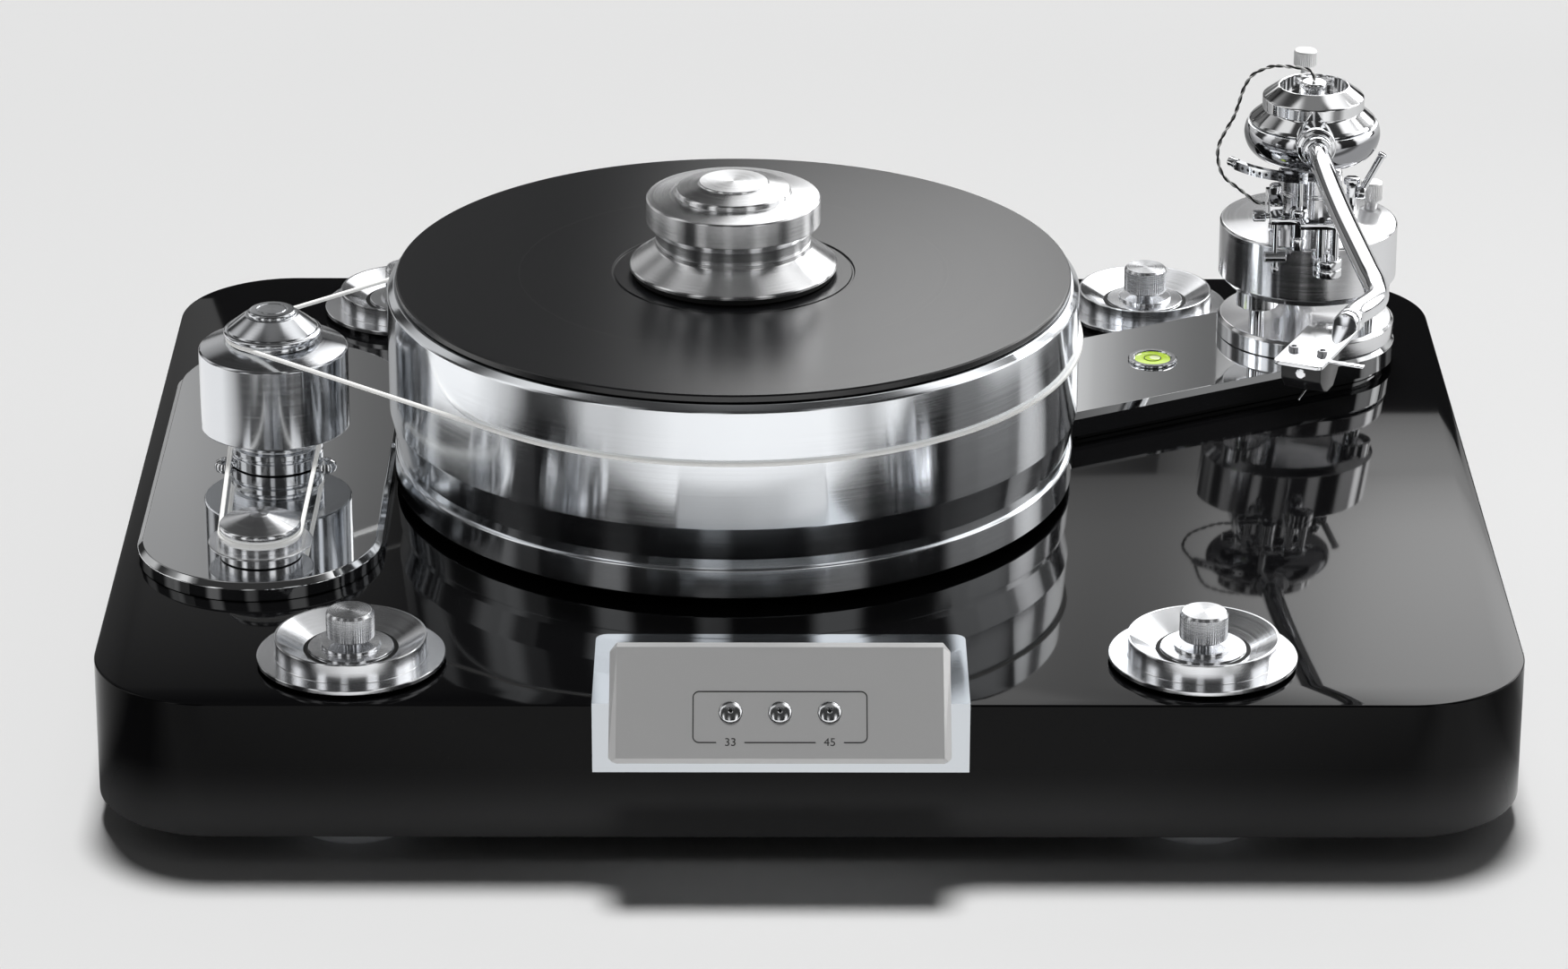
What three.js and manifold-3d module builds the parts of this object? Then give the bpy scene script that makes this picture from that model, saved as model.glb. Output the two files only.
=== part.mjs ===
// A belt-driven record player: a lacquered plinth on four adjustable isolators, a heavy aluminium
// platter turned through a flywheel by two round belts, a slanted control panel at the front, and
// an S-shaped tonearm on a tower that stands on its own board.
import * as THREE from "three";
import { mergeVertices } from "three/addons/utils/BufferGeometryUtils.js";
import Module from "manifold-3d";

const wasm = await Module();
wasm.setup();

// Sizes are in millimetres. X runs to the right, Y to the rear and Z up. Heights of pieces count
// from the top of the plinth, and places in plan from the plinth's centre, unless a name or a
// comment gives another start.
const degrees = Math.PI / 180;
const fullTurn = 360 * degrees;

// Clearances that the whole turntable shares.
const seatGap = 0.3;
const runningGap = 0.05;
const wideRunningGap = 0.09;
const cutOverrun = 1;
const mergeDistance = 0.001;

// How many sides a turned piece has, and how many steps an arc of an outline has.
const broadSides = 48;
const roundSides = 24;
const smallSides = 16;
const fineRodSides = 8;
const arcSteps = 8;
const fineArcSteps = 4;

// Plinth: a lacquered shell, open below, closed by a cover plate.
const plinthDepth = 500.7;
const plinthHeight = 60.8;
const plinthCornerRadius = 53;
const plinthEdgeBevel = 0.8;
const plinthWall = 20;
const plinthTopThickness = 19;
const coverThickness = 4;
const coverGap = 0.5;

// Feet below the isolators. The height counts from the floor to the plinth's underside.
const footRadius = 26;
const footHeight = 12.7;
const footChamfer = 1.2;
const footSocketDepth = 6;

// Isolators: a flanged cup let into the plinth, with a dish round a levelling knob.
const flangeRadius = 39.6;
const flangeLift = 1.8;
const flangeThickness = 2;
const cupStubRadius = 30;
const cupStubDepth = 14;
const cupStubGap = 0.4;
const cupRadius = 32;
const cupRimHeight = 12;
const cupRimWidth = 1;
const dishFloorRadius = 20;
const dishFloorHeight = 6;
const dishDiscRadius = 17.9;
const dishDiscHeight = 7.2;
const dishCollarRadius = 12.4;
const dishCollarHeight = 8.5;
const dishSlotDepth = 4;
const dishSlotTurn = 130;
const levelKnobRadius = 10.2;
const levelKnobBottom = 11.3;
const levelKnobTop = 23.3;
const levelKnobBevel = 1;
const levelStudRadius = 4;

// Control panel: a folded polished bracket over the plinth's front edge carries a slanted housing.
const bracketCentreX = -12.1;
const bracketWidth = 156.2;
const bracketRun = 67.85;
const bracketThickness = 1.5;
const bracketFrontThickness = 2;
const bracketDrop = 29.5;
const bracketCornerRadius = 5;
const bracketWindowWidth = 56;
const bracketWindowDrop = 13;
const bracketWindowRun = 4;
const housingCentreX = -12.5;
const housingWidth = 141;
const housingChamfer = 3;
const housingWall = 2.4;
const housingEndWall = 7;
const housingHollowStart = 8;
const faceTilt = 42;
const faceLength = 50;
const faceOverhang = 23.35;
const faceBottomZ = -13.3;
const housingTopFlat = 4.5;
const housingBackRun = 7;
const housingNose = 3;
const housingUnderDrop = 5;
const buttonSpacing = 20.4;
const buttonRadius = 4.8;
const buttonHoleGap = 0.2;
const buttonAlongFace = 20.8;
const buttonStem = 3.6;
const buttonShoulder = 0.6;
const buttonDome = 1.1;
const buttonDimpleRadius = 0.9;
const buttonEdgeShare = 0.8;
const buttonEdgeRiseShare = 0.6;
const buttonCrownShare = 0.45;
const buttonDimpleDepth = 1;

// Drive electronics inside the plinth, and the low-voltage inlet in its rear wall.
const moduleWidth = 110;
const moduleDepth = 70;
const moduleHeight = 14;
const socketZ = -30;
const socketRadius = 8;
const socketFlangeRadius = 10.5;
const socketFlange = 2;
const socketDepth = 12;
const socketBore = 4;
const socketBoreDepth = 9;

// Motor plate: a stadium with bevelled edges, its long axis from front to rear.
const motorPlateFrontY = -92;
const motorPlateRearY = 90;
const motorPlateRadius = 53.4;
const motorPlateTop = 8.1;
const motorPlateBevel = 2.4;
const motorPlateSteps = 16;

// Platter, its bearing and its spindle, all about one axis.
const platterBottom = 4.5;
const platterRingTop = 18;
const platterNeckTop = 22.5;
const platterRadius = 154.5;
const platterRingInset = 2.1;
const platterNeckInset = 3.5;
const platterRimInset = 3;
const platterFlareTop = 37.5;
const platterSideTop = 91.3;
const platterTop = 93.9;
const platterRecessRadius = 48;
const platterRecessTop = 30;
const matInset = 4;
const matTop = 97.7;
const labelGrooveRadius = 53.5;
const labelGrooveWidth = 2;
const labelGrooveDepth = 1;
const bearingBarrelRadius = 25;
const bearingBarrelGap = 0.5;
const bearingDepth = 50;
const bearingWall = 4;
const bearingFlangeRadius = 45;
const bearingFlangeTop = 3.9;
const bearingBossRadius = 24;
const bearingBossTop = 23.5;
const spindleRadius = 8;
const spindleFlangeRadius = 28;
const spindleFlangeBottom = 24;
const spindlePinRadius = 3.6;
const spindlePinTop = 113;
const spindlePinBevel = 1.2;

// Record clamp: a turned weight on a rubber pad, dropped over the spindle's pin.
const clampPadRadius = 45;
const clampPadTop = 100.1;
const clampRimRadius = 46.3;
const clampRimTop = 102.3;
const clampNeckRadius = 34.5;
const clampConeTop = 110.3;
const clampGrooveDepth = 0.8;
const clampGrooveTop = 112;
const clampNeckTop = 119;
const clampDrumRadius = 38.8;
const clampDrumBottom = 121.8;
const clampDrumTop = 133.1;
const clampStepRadius = 25.5;
const clampStepBottom = 134.5;
const clampStepTop = 137;
const clampCapRadius = 15.5;
const clampCapBottom = 139.5;
const clampTop = 140.2;
const clampBoreTop = 117;

// Belts: both are round and run level.
const beltRadius = 1;
const grooveLipShare = 1.5;
const beltBevel = 0.55;
const beltGap = 0.3;
const longBeltSteps = [40, 12];
const shortBeltSteps = [14, 14];
const longBeltHeight = 68.2;
const shortBeltHeight = 19;

// Flywheel and its two grooves, on a pin that stands in the motor plate.
const flywheelY = -4.2;
const flywheelPinRadius = 5;
const flywheelNeckRadius = 21;
const flywheelNeckGroove = 19;
const flywheelBottom = 25.5;
const flywheelRadius = 33.4;
const flywheelSideTop = 63.2;
const flywheelTop = 66.4;
const flywheelRunUp = 0.5;
const topPulleyRadius = 22;
const topPulleyGroove = 20;
const topPulleyRimTop = 72;
const topPulleyCapRadius = 10;
const topPulleyCapBottom = 80;
const topPulleyTop = 80.8;

// Motor under the plate, and the pulley on its shaft.
const motorY = -112;
const motorShaftRadius = 3;
const motorShaftDepth = 38;
const motorRadius = 32;
const motorDepth = 46;
const motorBossRadius = 14;
const motorBossGap = 0.5;
const motorShaftHole = 3.3;
const pulleyDrumRadius = 18;
const pulleyFlangeRadius = 22.7;
const pulleyFlangeBottom = 13.8;
const pulleyFlangeTop = 14.8;
const pulleyGroove = 16.5;
const pulleyRimRadius = 17.8;
const pulleyRimTop = 23.6;
const pulleyTopRadius = 4;
const pulleyTop = 27.5;

// Arm board: a bar from the platter to the arm's axis, with a round end and a concave end.
const boardTop = 14.3;
const boardBottom = 3.6;
const boardHalfWidth = 42.3;
const boardBevel = 2.5;
const boardPlatterGap = 4;
const boardFootInset = 4;
const boardSteps = 20;
const levelDistance = 221.3;
const levelRadius = 11.4;
const levelLip = 1.5;
const levelPocketRadius = 10;
const levelPocketDepth = 6;
const levelGap = 0.3;
const levelWall = 1.1;
const levelFloor = 1;
const levelVialDrop = 0.6;

// Arm base: a disc on the board, three guide pins, and the tower that slides on them. From here
// on, places in plan count from the arm's own axis.
const baseDiscRadius = 41.7;
const baseDiscTop = 23.2;
const baseDiscBevel = 1.5;
const guidePinRadius = 3.6;
const guidePinCircle = 30.7;
const guidePinFirstTurn = 216.6;
const guidePinSocket = 5.5;
const guidePinTop = 60;
const towerRadius = 41.7;
const towerBottom = 40.4;
const towerChamfer = 4;
const towerSideTop = 69.4;
const towerEdge = 0.8;
const towerFlatRadius = 20;
const towerTop = 71.6;
const sleeveRadius = 9.8;
const sleeveBottom = 34;
const guideBoreTop = 63;
const towerKnobX = 31.2;
const towerKnobY = 19.8;
const towerKnobRadius = 5.3;
const towerKnobBottom = 73;
const towerKnobTop = 82;
const towerKnobStem = 3;
const towerKnobDepth = 64;
const towerKnobBevel = 0.7;

// Arm bearing: a pillar with a pin, a yoke that swings on the pin, and a bowl and dome that tilt
// on the yoke's two trunnions.
const pillarFootRadius = 16;
const pillarFootTop = 75;
const pillarRadius = 15;
const pillarTop = 95;
const pivotPinRadius = 4;
const pivotPinTop = 115.5;
const yokeRadius = 9;
const yokeBottom = 96;
const yokeTop = 116;
const tiltHeight = 113;
const trunnionRadius = 2.5;
const trunnionGap = 0.1;
const trunnionBoreDepth = 1.9;
const bowlRadius = 31.7;
const bowlBottom = 101;
const bowlTop = 119.4;
const bowlWall = 3;
const bowlMouthRadius = 14;
const bowlRadiusShares = [0.568, 0.78, 0.91, 0.975, 1, 0.988, 0.956];
const bowlHeightShares = [0, 0.1, 0.26, 0.45, 0.65, 0.84, 1];
const domeFootRadius = 29.4;
const domeWaistRadius = 23.2;
const domeWaistHeight = 126;
const domeBandRadius = 23.7;
const domeBandTop = 132;
const domeRimRadius = 16.4;
const domeTop = 137;
const domeRecessRadius = 15.6;
const domeRecessFloor = 130;
const domeNutRadius = 6;
const domeNutTop = 138.6;

// Counterweight on a rod behind the bowl, locked by a tall knurled screw.
const weightRodRadius = 5;
const weightRodRise = 5;
const weightRodEnd = 66;
const weightRodStart = 24;
const weightRadius = 16;
const weightFront = 36;
const weightRear = 60;
const weightChamfer = 1;
const weightScrewX = 0;
const weightScrewY = 46.4;
const weightScrewStem = 2;
const weightScrewDepth = 7.5;
const weightScrewRadius = 5.5;
const weightScrewRise = 25;
const weightScrewKnobHeight = 7.5;
const weightScrewBevel = 0.5;

// Arm tube: collars at the bowl, a long straight run, and a bend to the headshell.
const tubeHeight = 118;
const tubeRadius = 5.3;
const tubeCollarRadius = 9.2;
const tubeCollarRear = -22;
const tubeCollarFront = -36;
const tubeCuffRadius = 6.7;
const tubeCuffFront = -41.5;
const tubeCollarX = -1.2;
const tubeReach = 250;
const tubeAcrossShares = [-0.0048, -0.0044, -0.0008, 0.0048, 0.0132, 0.0216, 0.0292, 0.0344, 0.0272];
const tubeAlongShares = [0, 0.056471, 0.183529, 0.325882, 0.491765, 0.628235, 0.750588, 0.844706, 0.92];
const tubeStartOverlap = 4;
const tubeSteps = 22;
const tubeSides = 12;

// Headshell with its coupling, cartridge, stylus and finger lift. These places count from the
// middle of the headshell's rear edge, forwards along the shell and across it to the right.
const shellRearX = -11.75;
const shellTurn = -23.9;
const shellTop = 117.5;
const shellThickness = 1.8;
const shellWidth = 21.5;
const shellLength = 52.8;
const shellFrontRadius = 3;
const shellRearCut = 5;
const couplingRadius = 5.8;
const couplingLength = 6;
const couplingOverlap = 3;
const couplingHeight = 117.6;
const couplingAcross = 4.4;
const liftStripAlong = 42.2;
const liftStripReach = 15.3;
const liftStripWidth = 3;
const liftStripThickness = 0.9;
const cartridgeWidth = 17.5;
const cartridgeRear = 23;
const cartridgeLength = 24;
const cartridgeBottom = 100.5;
const cartridgeNoseHeight = 108;
const cartridgeChin = 5;
const cartridgeChinHeight = 102.6;
const cartridgeHeel = 6;
const cartridgeHeelHeight = 106;
const stylusRadius = 0.5;
const stylusRoot = 39.6;
const stylusRootHeight = 100.8;
const stylusTip = 48;
const stylusTipHeight = 99.7;

// Cue lift: a post on the tower carries a block, a lift cylinder and a plate with a damper.
const liftPostX = -17.5;
const liftPostY = -15.6;
const liftPostRadius = 3;
const liftPostTop = 93.4;
const liftBlockX = -18.8;
const liftBlockWidth = 6.4;
const liftBlockFront = -38;
const liftBlockRear = -13;
const liftBlockBottom = 81;
const liftBlockTop = 91;
const liftCylinderX = -9;
const liftCylinderY = -43.6;
const liftCylinderRadius = 3.8;
const liftCylinderBottom = 71;
const liftCylinderTop = 91.6;
const liftArmThickness = 3;
const liftArmTop = 87.5;
const liftPlateRight = 10;
const liftPlateDepth = 9;
const damperX = 4.4;
const damperY = -50;
const damperRodRadius = 2.2;
const damperRodSpacing = 6.2;
const damperCupRadius = 6.7;
const damperCupTop = 69.4;
const damperCupBottom = 60.5;
const liftRodRadius = 1.6;
const liftRodDepth = 14;
const liftBarWidth = 3;
const liftBarBottom = 104;
const liftBarTop = 108.2;
const liftBarFrontTurn = 263;
const liftBarRearTurn = 214;
const liftBarStopRadius = 2.4;
const liftBarStopLength = 5;
const liftBarStopHeight = 106.5;
const lockKnobRadius = 2.7;
const lockKnobLength = 6;
const lockKnobNeck = 1.4;
const lockKnobNeckRadius = 1.3;
const lockKnobY = -33.6;
const lockKnobHeight = 84;

// Antiskate rod below the block, with a small cross weight that slides on it.
const skateRodX = -19.4;
const skateRodY = -45;
const skateRodRadius = 1.4;
const skateRodBottom = 62;
const skateBallRadius = 2;
const skateWeightRadius = 2.7;
const skateWeightLength = 10.4;
const skateWeightHeight = 68;

// Lever pillar and cue lever at the right of the bearing.
const leverPillarX = 19;
const leverPillarY = -6.2;
const leverPillarFlats = 4.4;
const leverPillarTop = 93;
const leverCapFlats = 6.8;
const leverCapBottom = 90;
const leverPinRadius = 1.2;
const leverPinLength = 3.6;
const leverAxisHeight = 86;
const leverHubRadius = 3.2;
const leverRodRadius = 1.7;
const leverRodLength = 21.5;
const leverLean = 27;

// Signal wire from the dome's nut, in a bow round the bearing's left side, to the lift post.
// Its route counts from the arm's axis and the top of the plinth.
const wireRadius = 0.9;
const wireSides = 8;
const wireSteps = 36;
const wireRoute = [
  [0, 0, 138.95],
  [-0.4, 0.4, 141.6],
  [-3.4, 2.4, 143.6],
  [-11, 4.4, 144.1],
  [-17.1, 6.4, 143.9],
  [-23.2, 7.4, 142],
  [-28.1, 7.4, 139],
  [-30.9, 7.4, 135],
  [-33, 6.4, 130],
  [-35.2, 4.4, 123.1],
  [-37.6, 3.4, 117.7],
  [-40.8, 1.4, 112.7],
  [-43.2, -0.6, 108],
  [-44.1, -2.6, 103.4],
  [-42.8, -5.6, 96.5],
  [-39.5, -7.6, 92.3],
  [-33.2, -9.8, 88],
  [-28.5, -13, 85],
  [-25.2, -15.4, 83.8],
  [-22.4, -15.6, 83.6],
];

// Layout: the plinth is as wide as what stands on it, from the motor at its left to the arm at
// its right. Places count from the middle of the plinth's top.
const motorEdgeGap = 9.5;
const flywheelShift = 0.5;
const motorShift = 2;
const flywheelClearance = 18.1;
const armAcross = 269.9;
const armInset = 64.1;
const armY = 143.6;
const isolatorLeftInset = 108.7;
const isolatorRightInset = 136;
const isolatorFrontInset = 44.35;
const isolatorRearInset = 45.35;
const moduleLeftInset = 181;
const socketLeftInset = 181;
const moduleRearInset = 130.35;
const shellRearDrop = 8.9;
const motorPlateInset = plinthWall + motorRadius + motorEdgeGap;
const flywheelInset = motorPlateInset + flywheelShift;
const platterInset = flywheelInset + flywheelRadius + flywheelClearance + platterRadius;
const plinthWidth = platterInset + armAcross + armInset;
const plinthLeft = -plinthWidth / 2;
const plinthFront = -plinthDepth / 2;
const bracketRearY = plinthFront + bracketRun;
const faceFrontY = plinthFront - faceOverhang;
const platterRingRadius = platterRadius - platterRingInset;
const platterNeckRadius = platterRadius - platterNeckInset;
const platterRimRadius = platterRadius - platterRimInset;
const matRadius = platterRadius - matInset;
const motorPlateX = plinthLeft + motorPlateInset;
const flywheelX = plinthLeft + flywheelInset;
const motorX = motorPlateX + motorShift;
const platterX = plinthLeft + platterInset;
const armX = platterX + armAcross;
const moduleX = plinthLeft + moduleLeftInset;
const socketX = plinthLeft + socketLeftInset;
const moduleY = plinthDepth / 2 - moduleRearInset;
const isolatorLeftX = plinthLeft + isolatorLeftInset;
const isolatorRightX = plinthWidth / 2 - isolatorRightInset;
const isolatorFrontY = plinthFront + isolatorFrontInset;
const isolatorRearY = plinthDepth / 2 - isolatorRearInset;
const weightRodHeight = bowlBottom + weightRodRise;
const weightScrewFoot = weightRodHeight + weightScrewDepth;
const weightScrewBottom = weightRodHeight + weightScrewRise;
const weightScrewTop = weightScrewBottom + weightScrewKnobHeight;
const tubeStart = -tubeCuffFront - tubeStartOverlap;
const shellRearY = -tubeReach - shellRearDrop;

// Shapes. A turned piece's outline is a list of [radius, height] points.

function turned(outline, sides) {
  const points = outline.map(([radius, height]) => new THREE.Vector2(radius, height));
  return new THREE.LatheGeometry(points, sides).rotateX(Math.PI / 2);
}

function rod(radius, bottom, top, sides) {
  return turned([[0, bottom], [radius, bottom], [radius, top], [0, top]], sides);
}

function bush(bore, radius, bottom, top, sides) {
  return turned(
    [[bore, bottom], [radius, bottom], [radius, top], [bore, top], [bore, bottom]],
    sides,
  );
}

// A box between two corners.
function block(low, high) {
  const size = high.map((value, axis) => value - low[axis]);
  const centre = high.map((value, axis) => (value + low[axis]) / 2);
  return new THREE.BoxGeometry(...size).translate(...centre);
}

// A shape drawn in plan, raised between two heights, with the same bevel at both faces if any.
function raised(shape, bottom, top, bevel = 0, steps = arcSteps) {
  const geometry = new THREE.ExtrudeGeometry(shape, {
    depth: top - bottom - 2 * bevel,
    bevelEnabled: bevel > 0,
    bevelThickness: bevel,
    bevelSize: bevel,
    bevelOffset: -bevel,
    bevelSegments: 1,
    curveSegments: steps / 2,
  });
  return geometry.translate(0, 0, bottom + bevel);
}

function roundedRectangle(width, depth, radius) {
  const x = width / 2;
  const y = depth / 2;
  const shape = new THREE.Shape();
  shape.absarc(x - radius, y - radius, radius, 0, 90 * degrees);
  shape.absarc(-x + radius, y - radius, radius, 90 * degrees, 180 * degrees);
  shape.absarc(-x + radius, -y + radius, radius, 180 * degrees, 270 * degrees);
  shape.absarc(x - radius, -y + radius, radius, 270 * degrees, fullTurn);
  shape.closePath();
  return shape;
}

// A closed band between two radii and two angles, about the origin.
function arcBand(inner, outer, from, to) {
  const shape = new THREE.Shape();
  shape.absarc(0, 0, outer, from * degrees, to * degrees);
  shape.absarc(0, 0, inner, to * degrees, from * degrees, true);
  shape.closePath();
  return shape;
}

// Joins and cuts of closed solids.
function solidFrom(geometry) {
  const bare = geometry.index ? geometry.toNonIndexed() : geometry.clone();
  bare.deleteAttribute("normal");
  bare.deleteAttribute("uv");
  const merged = mergeVertices(bare, mergeDistance);
  const vertProperties = merged.attributes.position.array;
  const triVerts = new Uint32Array(merged.index.array);
  return new wasm.Manifold(new wasm.Mesh({ numProp: 3, vertProperties, triVerts }));
}

function geometryFrom(solid) {
  const { vertProperties, triVerts } = solid.getMesh();
  const geometry = new THREE.BufferGeometry();
  geometry.setAttribute("position", new THREE.BufferAttribute(vertProperties, 3));
  geometry.setIndex(new THREE.BufferAttribute(triVerts, 1));
  const faceted = geometry.toNonIndexed();
  faceted.computeVertexNormals();
  return faceted;
}

function join(...geometries) {
  return geometryFrom(geometries.map(solidFrom).reduce((whole, next) => whole.add(next)));
}

function cut(geometry, ...tools) {
  const solids = tools.map(solidFrom);
  return geometryFrom(solids.reduce((rest, tool) => rest.subtract(tool), solidFrom(geometry)));
}

// Finishes.

function finish(color, roughness, metalness) {
  return new THREE.MeshStandardMaterial({ color, roughness, metalness });
}
const blackLacquer = () => finish(0x0b0b0d, 0.08, 0.1);
const polishedAluminium = () => finish(0xdfe2e6, 0.18, 1);
const chrome = () => finish(0xe8eaee, 0.05, 1);
const brushedAluminium = () => finish(0xc4c7cb, 0.35, 1);
const darkSteel = () => finish(0x5c6066, 0.35, 0.9);
const blackMat = () => finish(0x17181a, 0.6, 0);
const blackPlastic = () => finish(0x101114, 0.4, 0);
const greyRubber = () => finish(0xb9bcc0, 0.7, 0);
const blackRubber = () => finish(0x151515, 0.8, 0);
const paleBelt = () => finish(0xe4e4e2, 0.5, 0);
const levelFluid = () => finish(0xc8d628, 0.1, 0);
const circuitGreen = () => finish(0x2b5b3a, 0.6, 0);
const wireGrey = () => finish(0x8d9096, 0.6, 0);

function addPiece(parent, name, geometry, material) {
  const mesh = new THREE.Mesh(geometry, material);
  mesh.name = name;
  parent.add(mesh);
  return mesh;
}

function addGroup(parent, x, y, z = 0) {
  const group = new THREE.Group();
  group.position.set(x, y, z);
  parent.add(group);
  return group;
}

// The whole turntable, and the deck: the plane of the plinth's top.
const turntable = new THREE.Group();
const deck = addGroup(turntable, 0, 0, footHeight + plinthHeight);
const isolatorPlaces = [
  ["front_left", isolatorLeftX, isolatorFrontY],
  ["front_right", isolatorRightX, isolatorFrontY],
  ["rear_left", isolatorLeftX, isolatorRearY],
  ["rear_right", isolatorRightX, isolatorRearY],
];

// Plinth shell and cover plate.
const plinthUnder = -plinthHeight;
const socketAxisY = plinthDepth / 2;
const innerCorner = plinthCornerRadius - plinthWall;

function plinthBody() {
  const shell = raised(
    roundedRectangle(plinthWidth, plinthDepth, plinthCornerRadius),
    plinthUnder,
    0,
    plinthEdgeBevel,
  );
  const hollow = raised(
    roundedRectangle(plinthWidth - 2 * plinthWall, plinthDepth - 2 * plinthWall, innerCorner),
    plinthUnder - cutOverrun,
    -plinthTopThickness,
  );
  const through = [-plinthTopThickness - cutOverrun, cutOverrun];
  const cups = isolatorPlaces.map(([, x, y]) =>
    rod(cupStubRadius + cupStubGap, ...through, smallSides).translate(x, y, 0));
  const bearingHole = rod(bearingBarrelRadius + bearingBarrelGap, ...through, roundSides);
  const motorHole = rod(motorBossRadius + motorBossGap, ...through, smallSides);
  const socketHole = rod(socketRadius + seatGap, -plinthWall - cutOverrun, cutOverrun, smallSides);
  return cut(
    shell,
    hollow,
    ...cups,
    bearingHole.translate(platterX, 0, 0),
    motorHole.translate(motorX, motorY, 0),
    socketHole.rotateX(-90 * degrees).translate(socketX, socketAxisY, socketZ),
  );
}
addPiece(deck, "plinth_body", plinthBody(), blackLacquer());

function baseCover() {
  const width = plinthWidth - 2 * plinthWall - 2 * coverGap;
  const depth = plinthDepth - 2 * plinthWall - 2 * coverGap;
  const plate = raised(
    roundedRectangle(width, depth, innerCorner - coverGap),
    plinthUnder,
    plinthUnder + coverThickness,
  );
  const holes = isolatorPlaces.map(([, x, y]) =>
    rod(
      levelStudRadius + cupStubGap,
      plinthUnder - cutOverrun,
      plinthUnder + coverThickness + cutOverrun,
      fineRodSides,
    ).translate(x, y, 0));
  return cut(plate, ...holes);
}
addPiece(deck, "base_cover", baseCover(), darkSteel());

// Isolators: foot, cup and levelling knob, one set at each corner.
const footTop = plinthUnder - seatGap;
const footBottom = plinthUnder - footHeight;
const footSocketFloor = footTop - footSocketDepth;

function foot() {
  const socketRadiusInFoot = levelStudRadius + wideRunningGap;
  return turned(
    [
      [0, footBottom],
      [footRadius - footChamfer, footBottom],
      [footRadius, footBottom + footChamfer],
      [footRadius, footTop],
      [socketRadiusInFoot, footTop],
      [socketRadiusInFoot, footSocketFloor],
      [0, footSocketFloor],
    ],
    smallSides,
  );
}

function isolatorCup() {
  const bore = levelStudRadius + wideRunningGap;
  const flangeTop = flangeLift + flangeThickness;
  const body = turned(
    [
      [bore, -cupStubDepth],
      [cupStubRadius, -cupStubDepth],
      [cupStubRadius, flangeLift],
      [flangeRadius, flangeLift],
      [flangeRadius, flangeTop],
      [cupRadius, flangeTop],
      [cupRadius, cupRimHeight],
      [cupRadius - cupRimWidth, cupRimHeight],
      [dishFloorRadius, dishFloorHeight],
      [dishDiscRadius, dishFloorHeight],
      [dishDiscRadius, dishDiscHeight],
      [dishCollarRadius, dishDiscHeight],
      [dishCollarRadius, dishCollarHeight],
      [bore, dishCollarHeight],
      [bore, -cupStubDepth],
    ],
    smallSides,
  );
  const slots = [0, 180].map((middle) =>
    raised(
      arcBand(dishDiscRadius, dishFloorRadius, middle - dishSlotTurn / 2, middle + dishSlotTurn / 2),
      dishFloorHeight - dishSlotDepth,
      dishFloorHeight + cutOverrun,
      0,
      fineArcSteps,
    ));
  return cut(body, ...slots);
}

function levelKnob() {
  const studBottom = footSocketFloor + seatGap;
  return turned(
    [
      [0, studBottom],
      [levelStudRadius, studBottom],
      [levelStudRadius, levelKnobBottom],
      [levelKnobRadius, levelKnobBottom],
      [levelKnobRadius, levelKnobTop - levelKnobBevel],
      [levelKnobRadius - levelKnobBevel, levelKnobTop],
      [0, levelKnobTop],
    ],
    smallSides,
  );
}

for (const [corner, x, y] of isolatorPlaces) {
  const isolator = addGroup(deck, x, y);
  addPiece(isolator, "foot_" + corner, foot(), greyRubber());
  addPiece(isolator, "isolator_cup_" + corner, isolatorCup(), polishedAluminium());
  addPiece(isolator, "level_knob_" + corner, levelKnob(), brushedAluminium());
}

// Control panel. The face's own frame has X across it, Y up its slope and Z out of it.
const bracketTop = seatGap + bracketThickness;
const bracketFaceY = plinthFront - seatGap;
const bracketFrontY = bracketFaceY - bracketFrontThickness;

function controlBracket() {
  const x = bracketWidth / 2;
  const corner = bracketCornerRadius;
  const top = new THREE.Shape();
  top.moveTo(-x, bracketFrontY);
  top.lineTo(x, bracketFrontY);
  top.absarc(x - corner, bracketRearY - corner, corner, 0, 90 * degrees);
  top.absarc(-x + corner, bracketRearY - corner, corner, 90 * degrees, 180 * degrees);
  top.closePath();
  const apron = block([-x, bracketFrontY, -bracketDrop], [x, bracketFaceY, bracketTop]);
  const folded = join(raised(top, seatGap, bracketTop, 0, fineArcSteps), apron)
    .translate(bracketCentreX, 0, 0);
  const windowLeft = housingCentreX - bracketWindowWidth / 2;
  const window = block(
    [windowLeft, bracketFrontY - cutOverrun, -bracketWindowDrop],
    [windowLeft + bracketWindowWidth, bracketFaceY + bracketWindowRun, bracketTop + cutOverrun],
  );
  return cut(folded, window);
}
addPiece(deck, "control_bracket", controlBracket(), chrome());

const slopeY = Math.cos(faceTilt * degrees);
const slopeZ = Math.sin(faceTilt * degrees);

// The place in the Y-Z plane that lies so far up the slanted face, and so deep behind it.
function facePoint(up, depth) {
  return [
    faceFrontY + up * slopeY + depth * slopeZ,
    faceBottomZ + up * slopeZ - depth * slopeY,
  ];
}
const [faceTopY, faceTopZ] = facePoint(faceLength, 0);
const housingSeatZ = bracketTop + seatGap;
const housingSeatY = bracketFrontY - seatGap;
const housingRearY = faceTopY + housingTopFlat + housingBackRun;
const buttonPlaces = [
  ["button_33", housingCentreX - buttonSpacing],
  ["button_stop", housingCentreX],
  ["button_45", housingCentreX + buttonSpacing],
];

// An outline drawn in the Y-Z plane, carried across X between two places.
function acrossPanel(outline, left, right, bevel) {
  const shape = new THREE.Shape(outline.map(([y, z]) => new THREE.Vector2(y, z)));
  const bar = raised(shape, left, right, bevel);
  return bar.applyMatrix4(new THREE.Matrix4().makeBasis(
    new THREE.Vector3(0, 1, 0),
    new THREE.Vector3(0, 0, 1),
    new THREE.Vector3(1, 0, 0),
  ));
}

// Takes a piece that was made upright to its place on the slanted face.
function faceFrame(geometry, x) {
  return geometry.rotateX(faceTilt * degrees).translate(x, ...facePoint(buttonAlongFace, 0));
}

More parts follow.
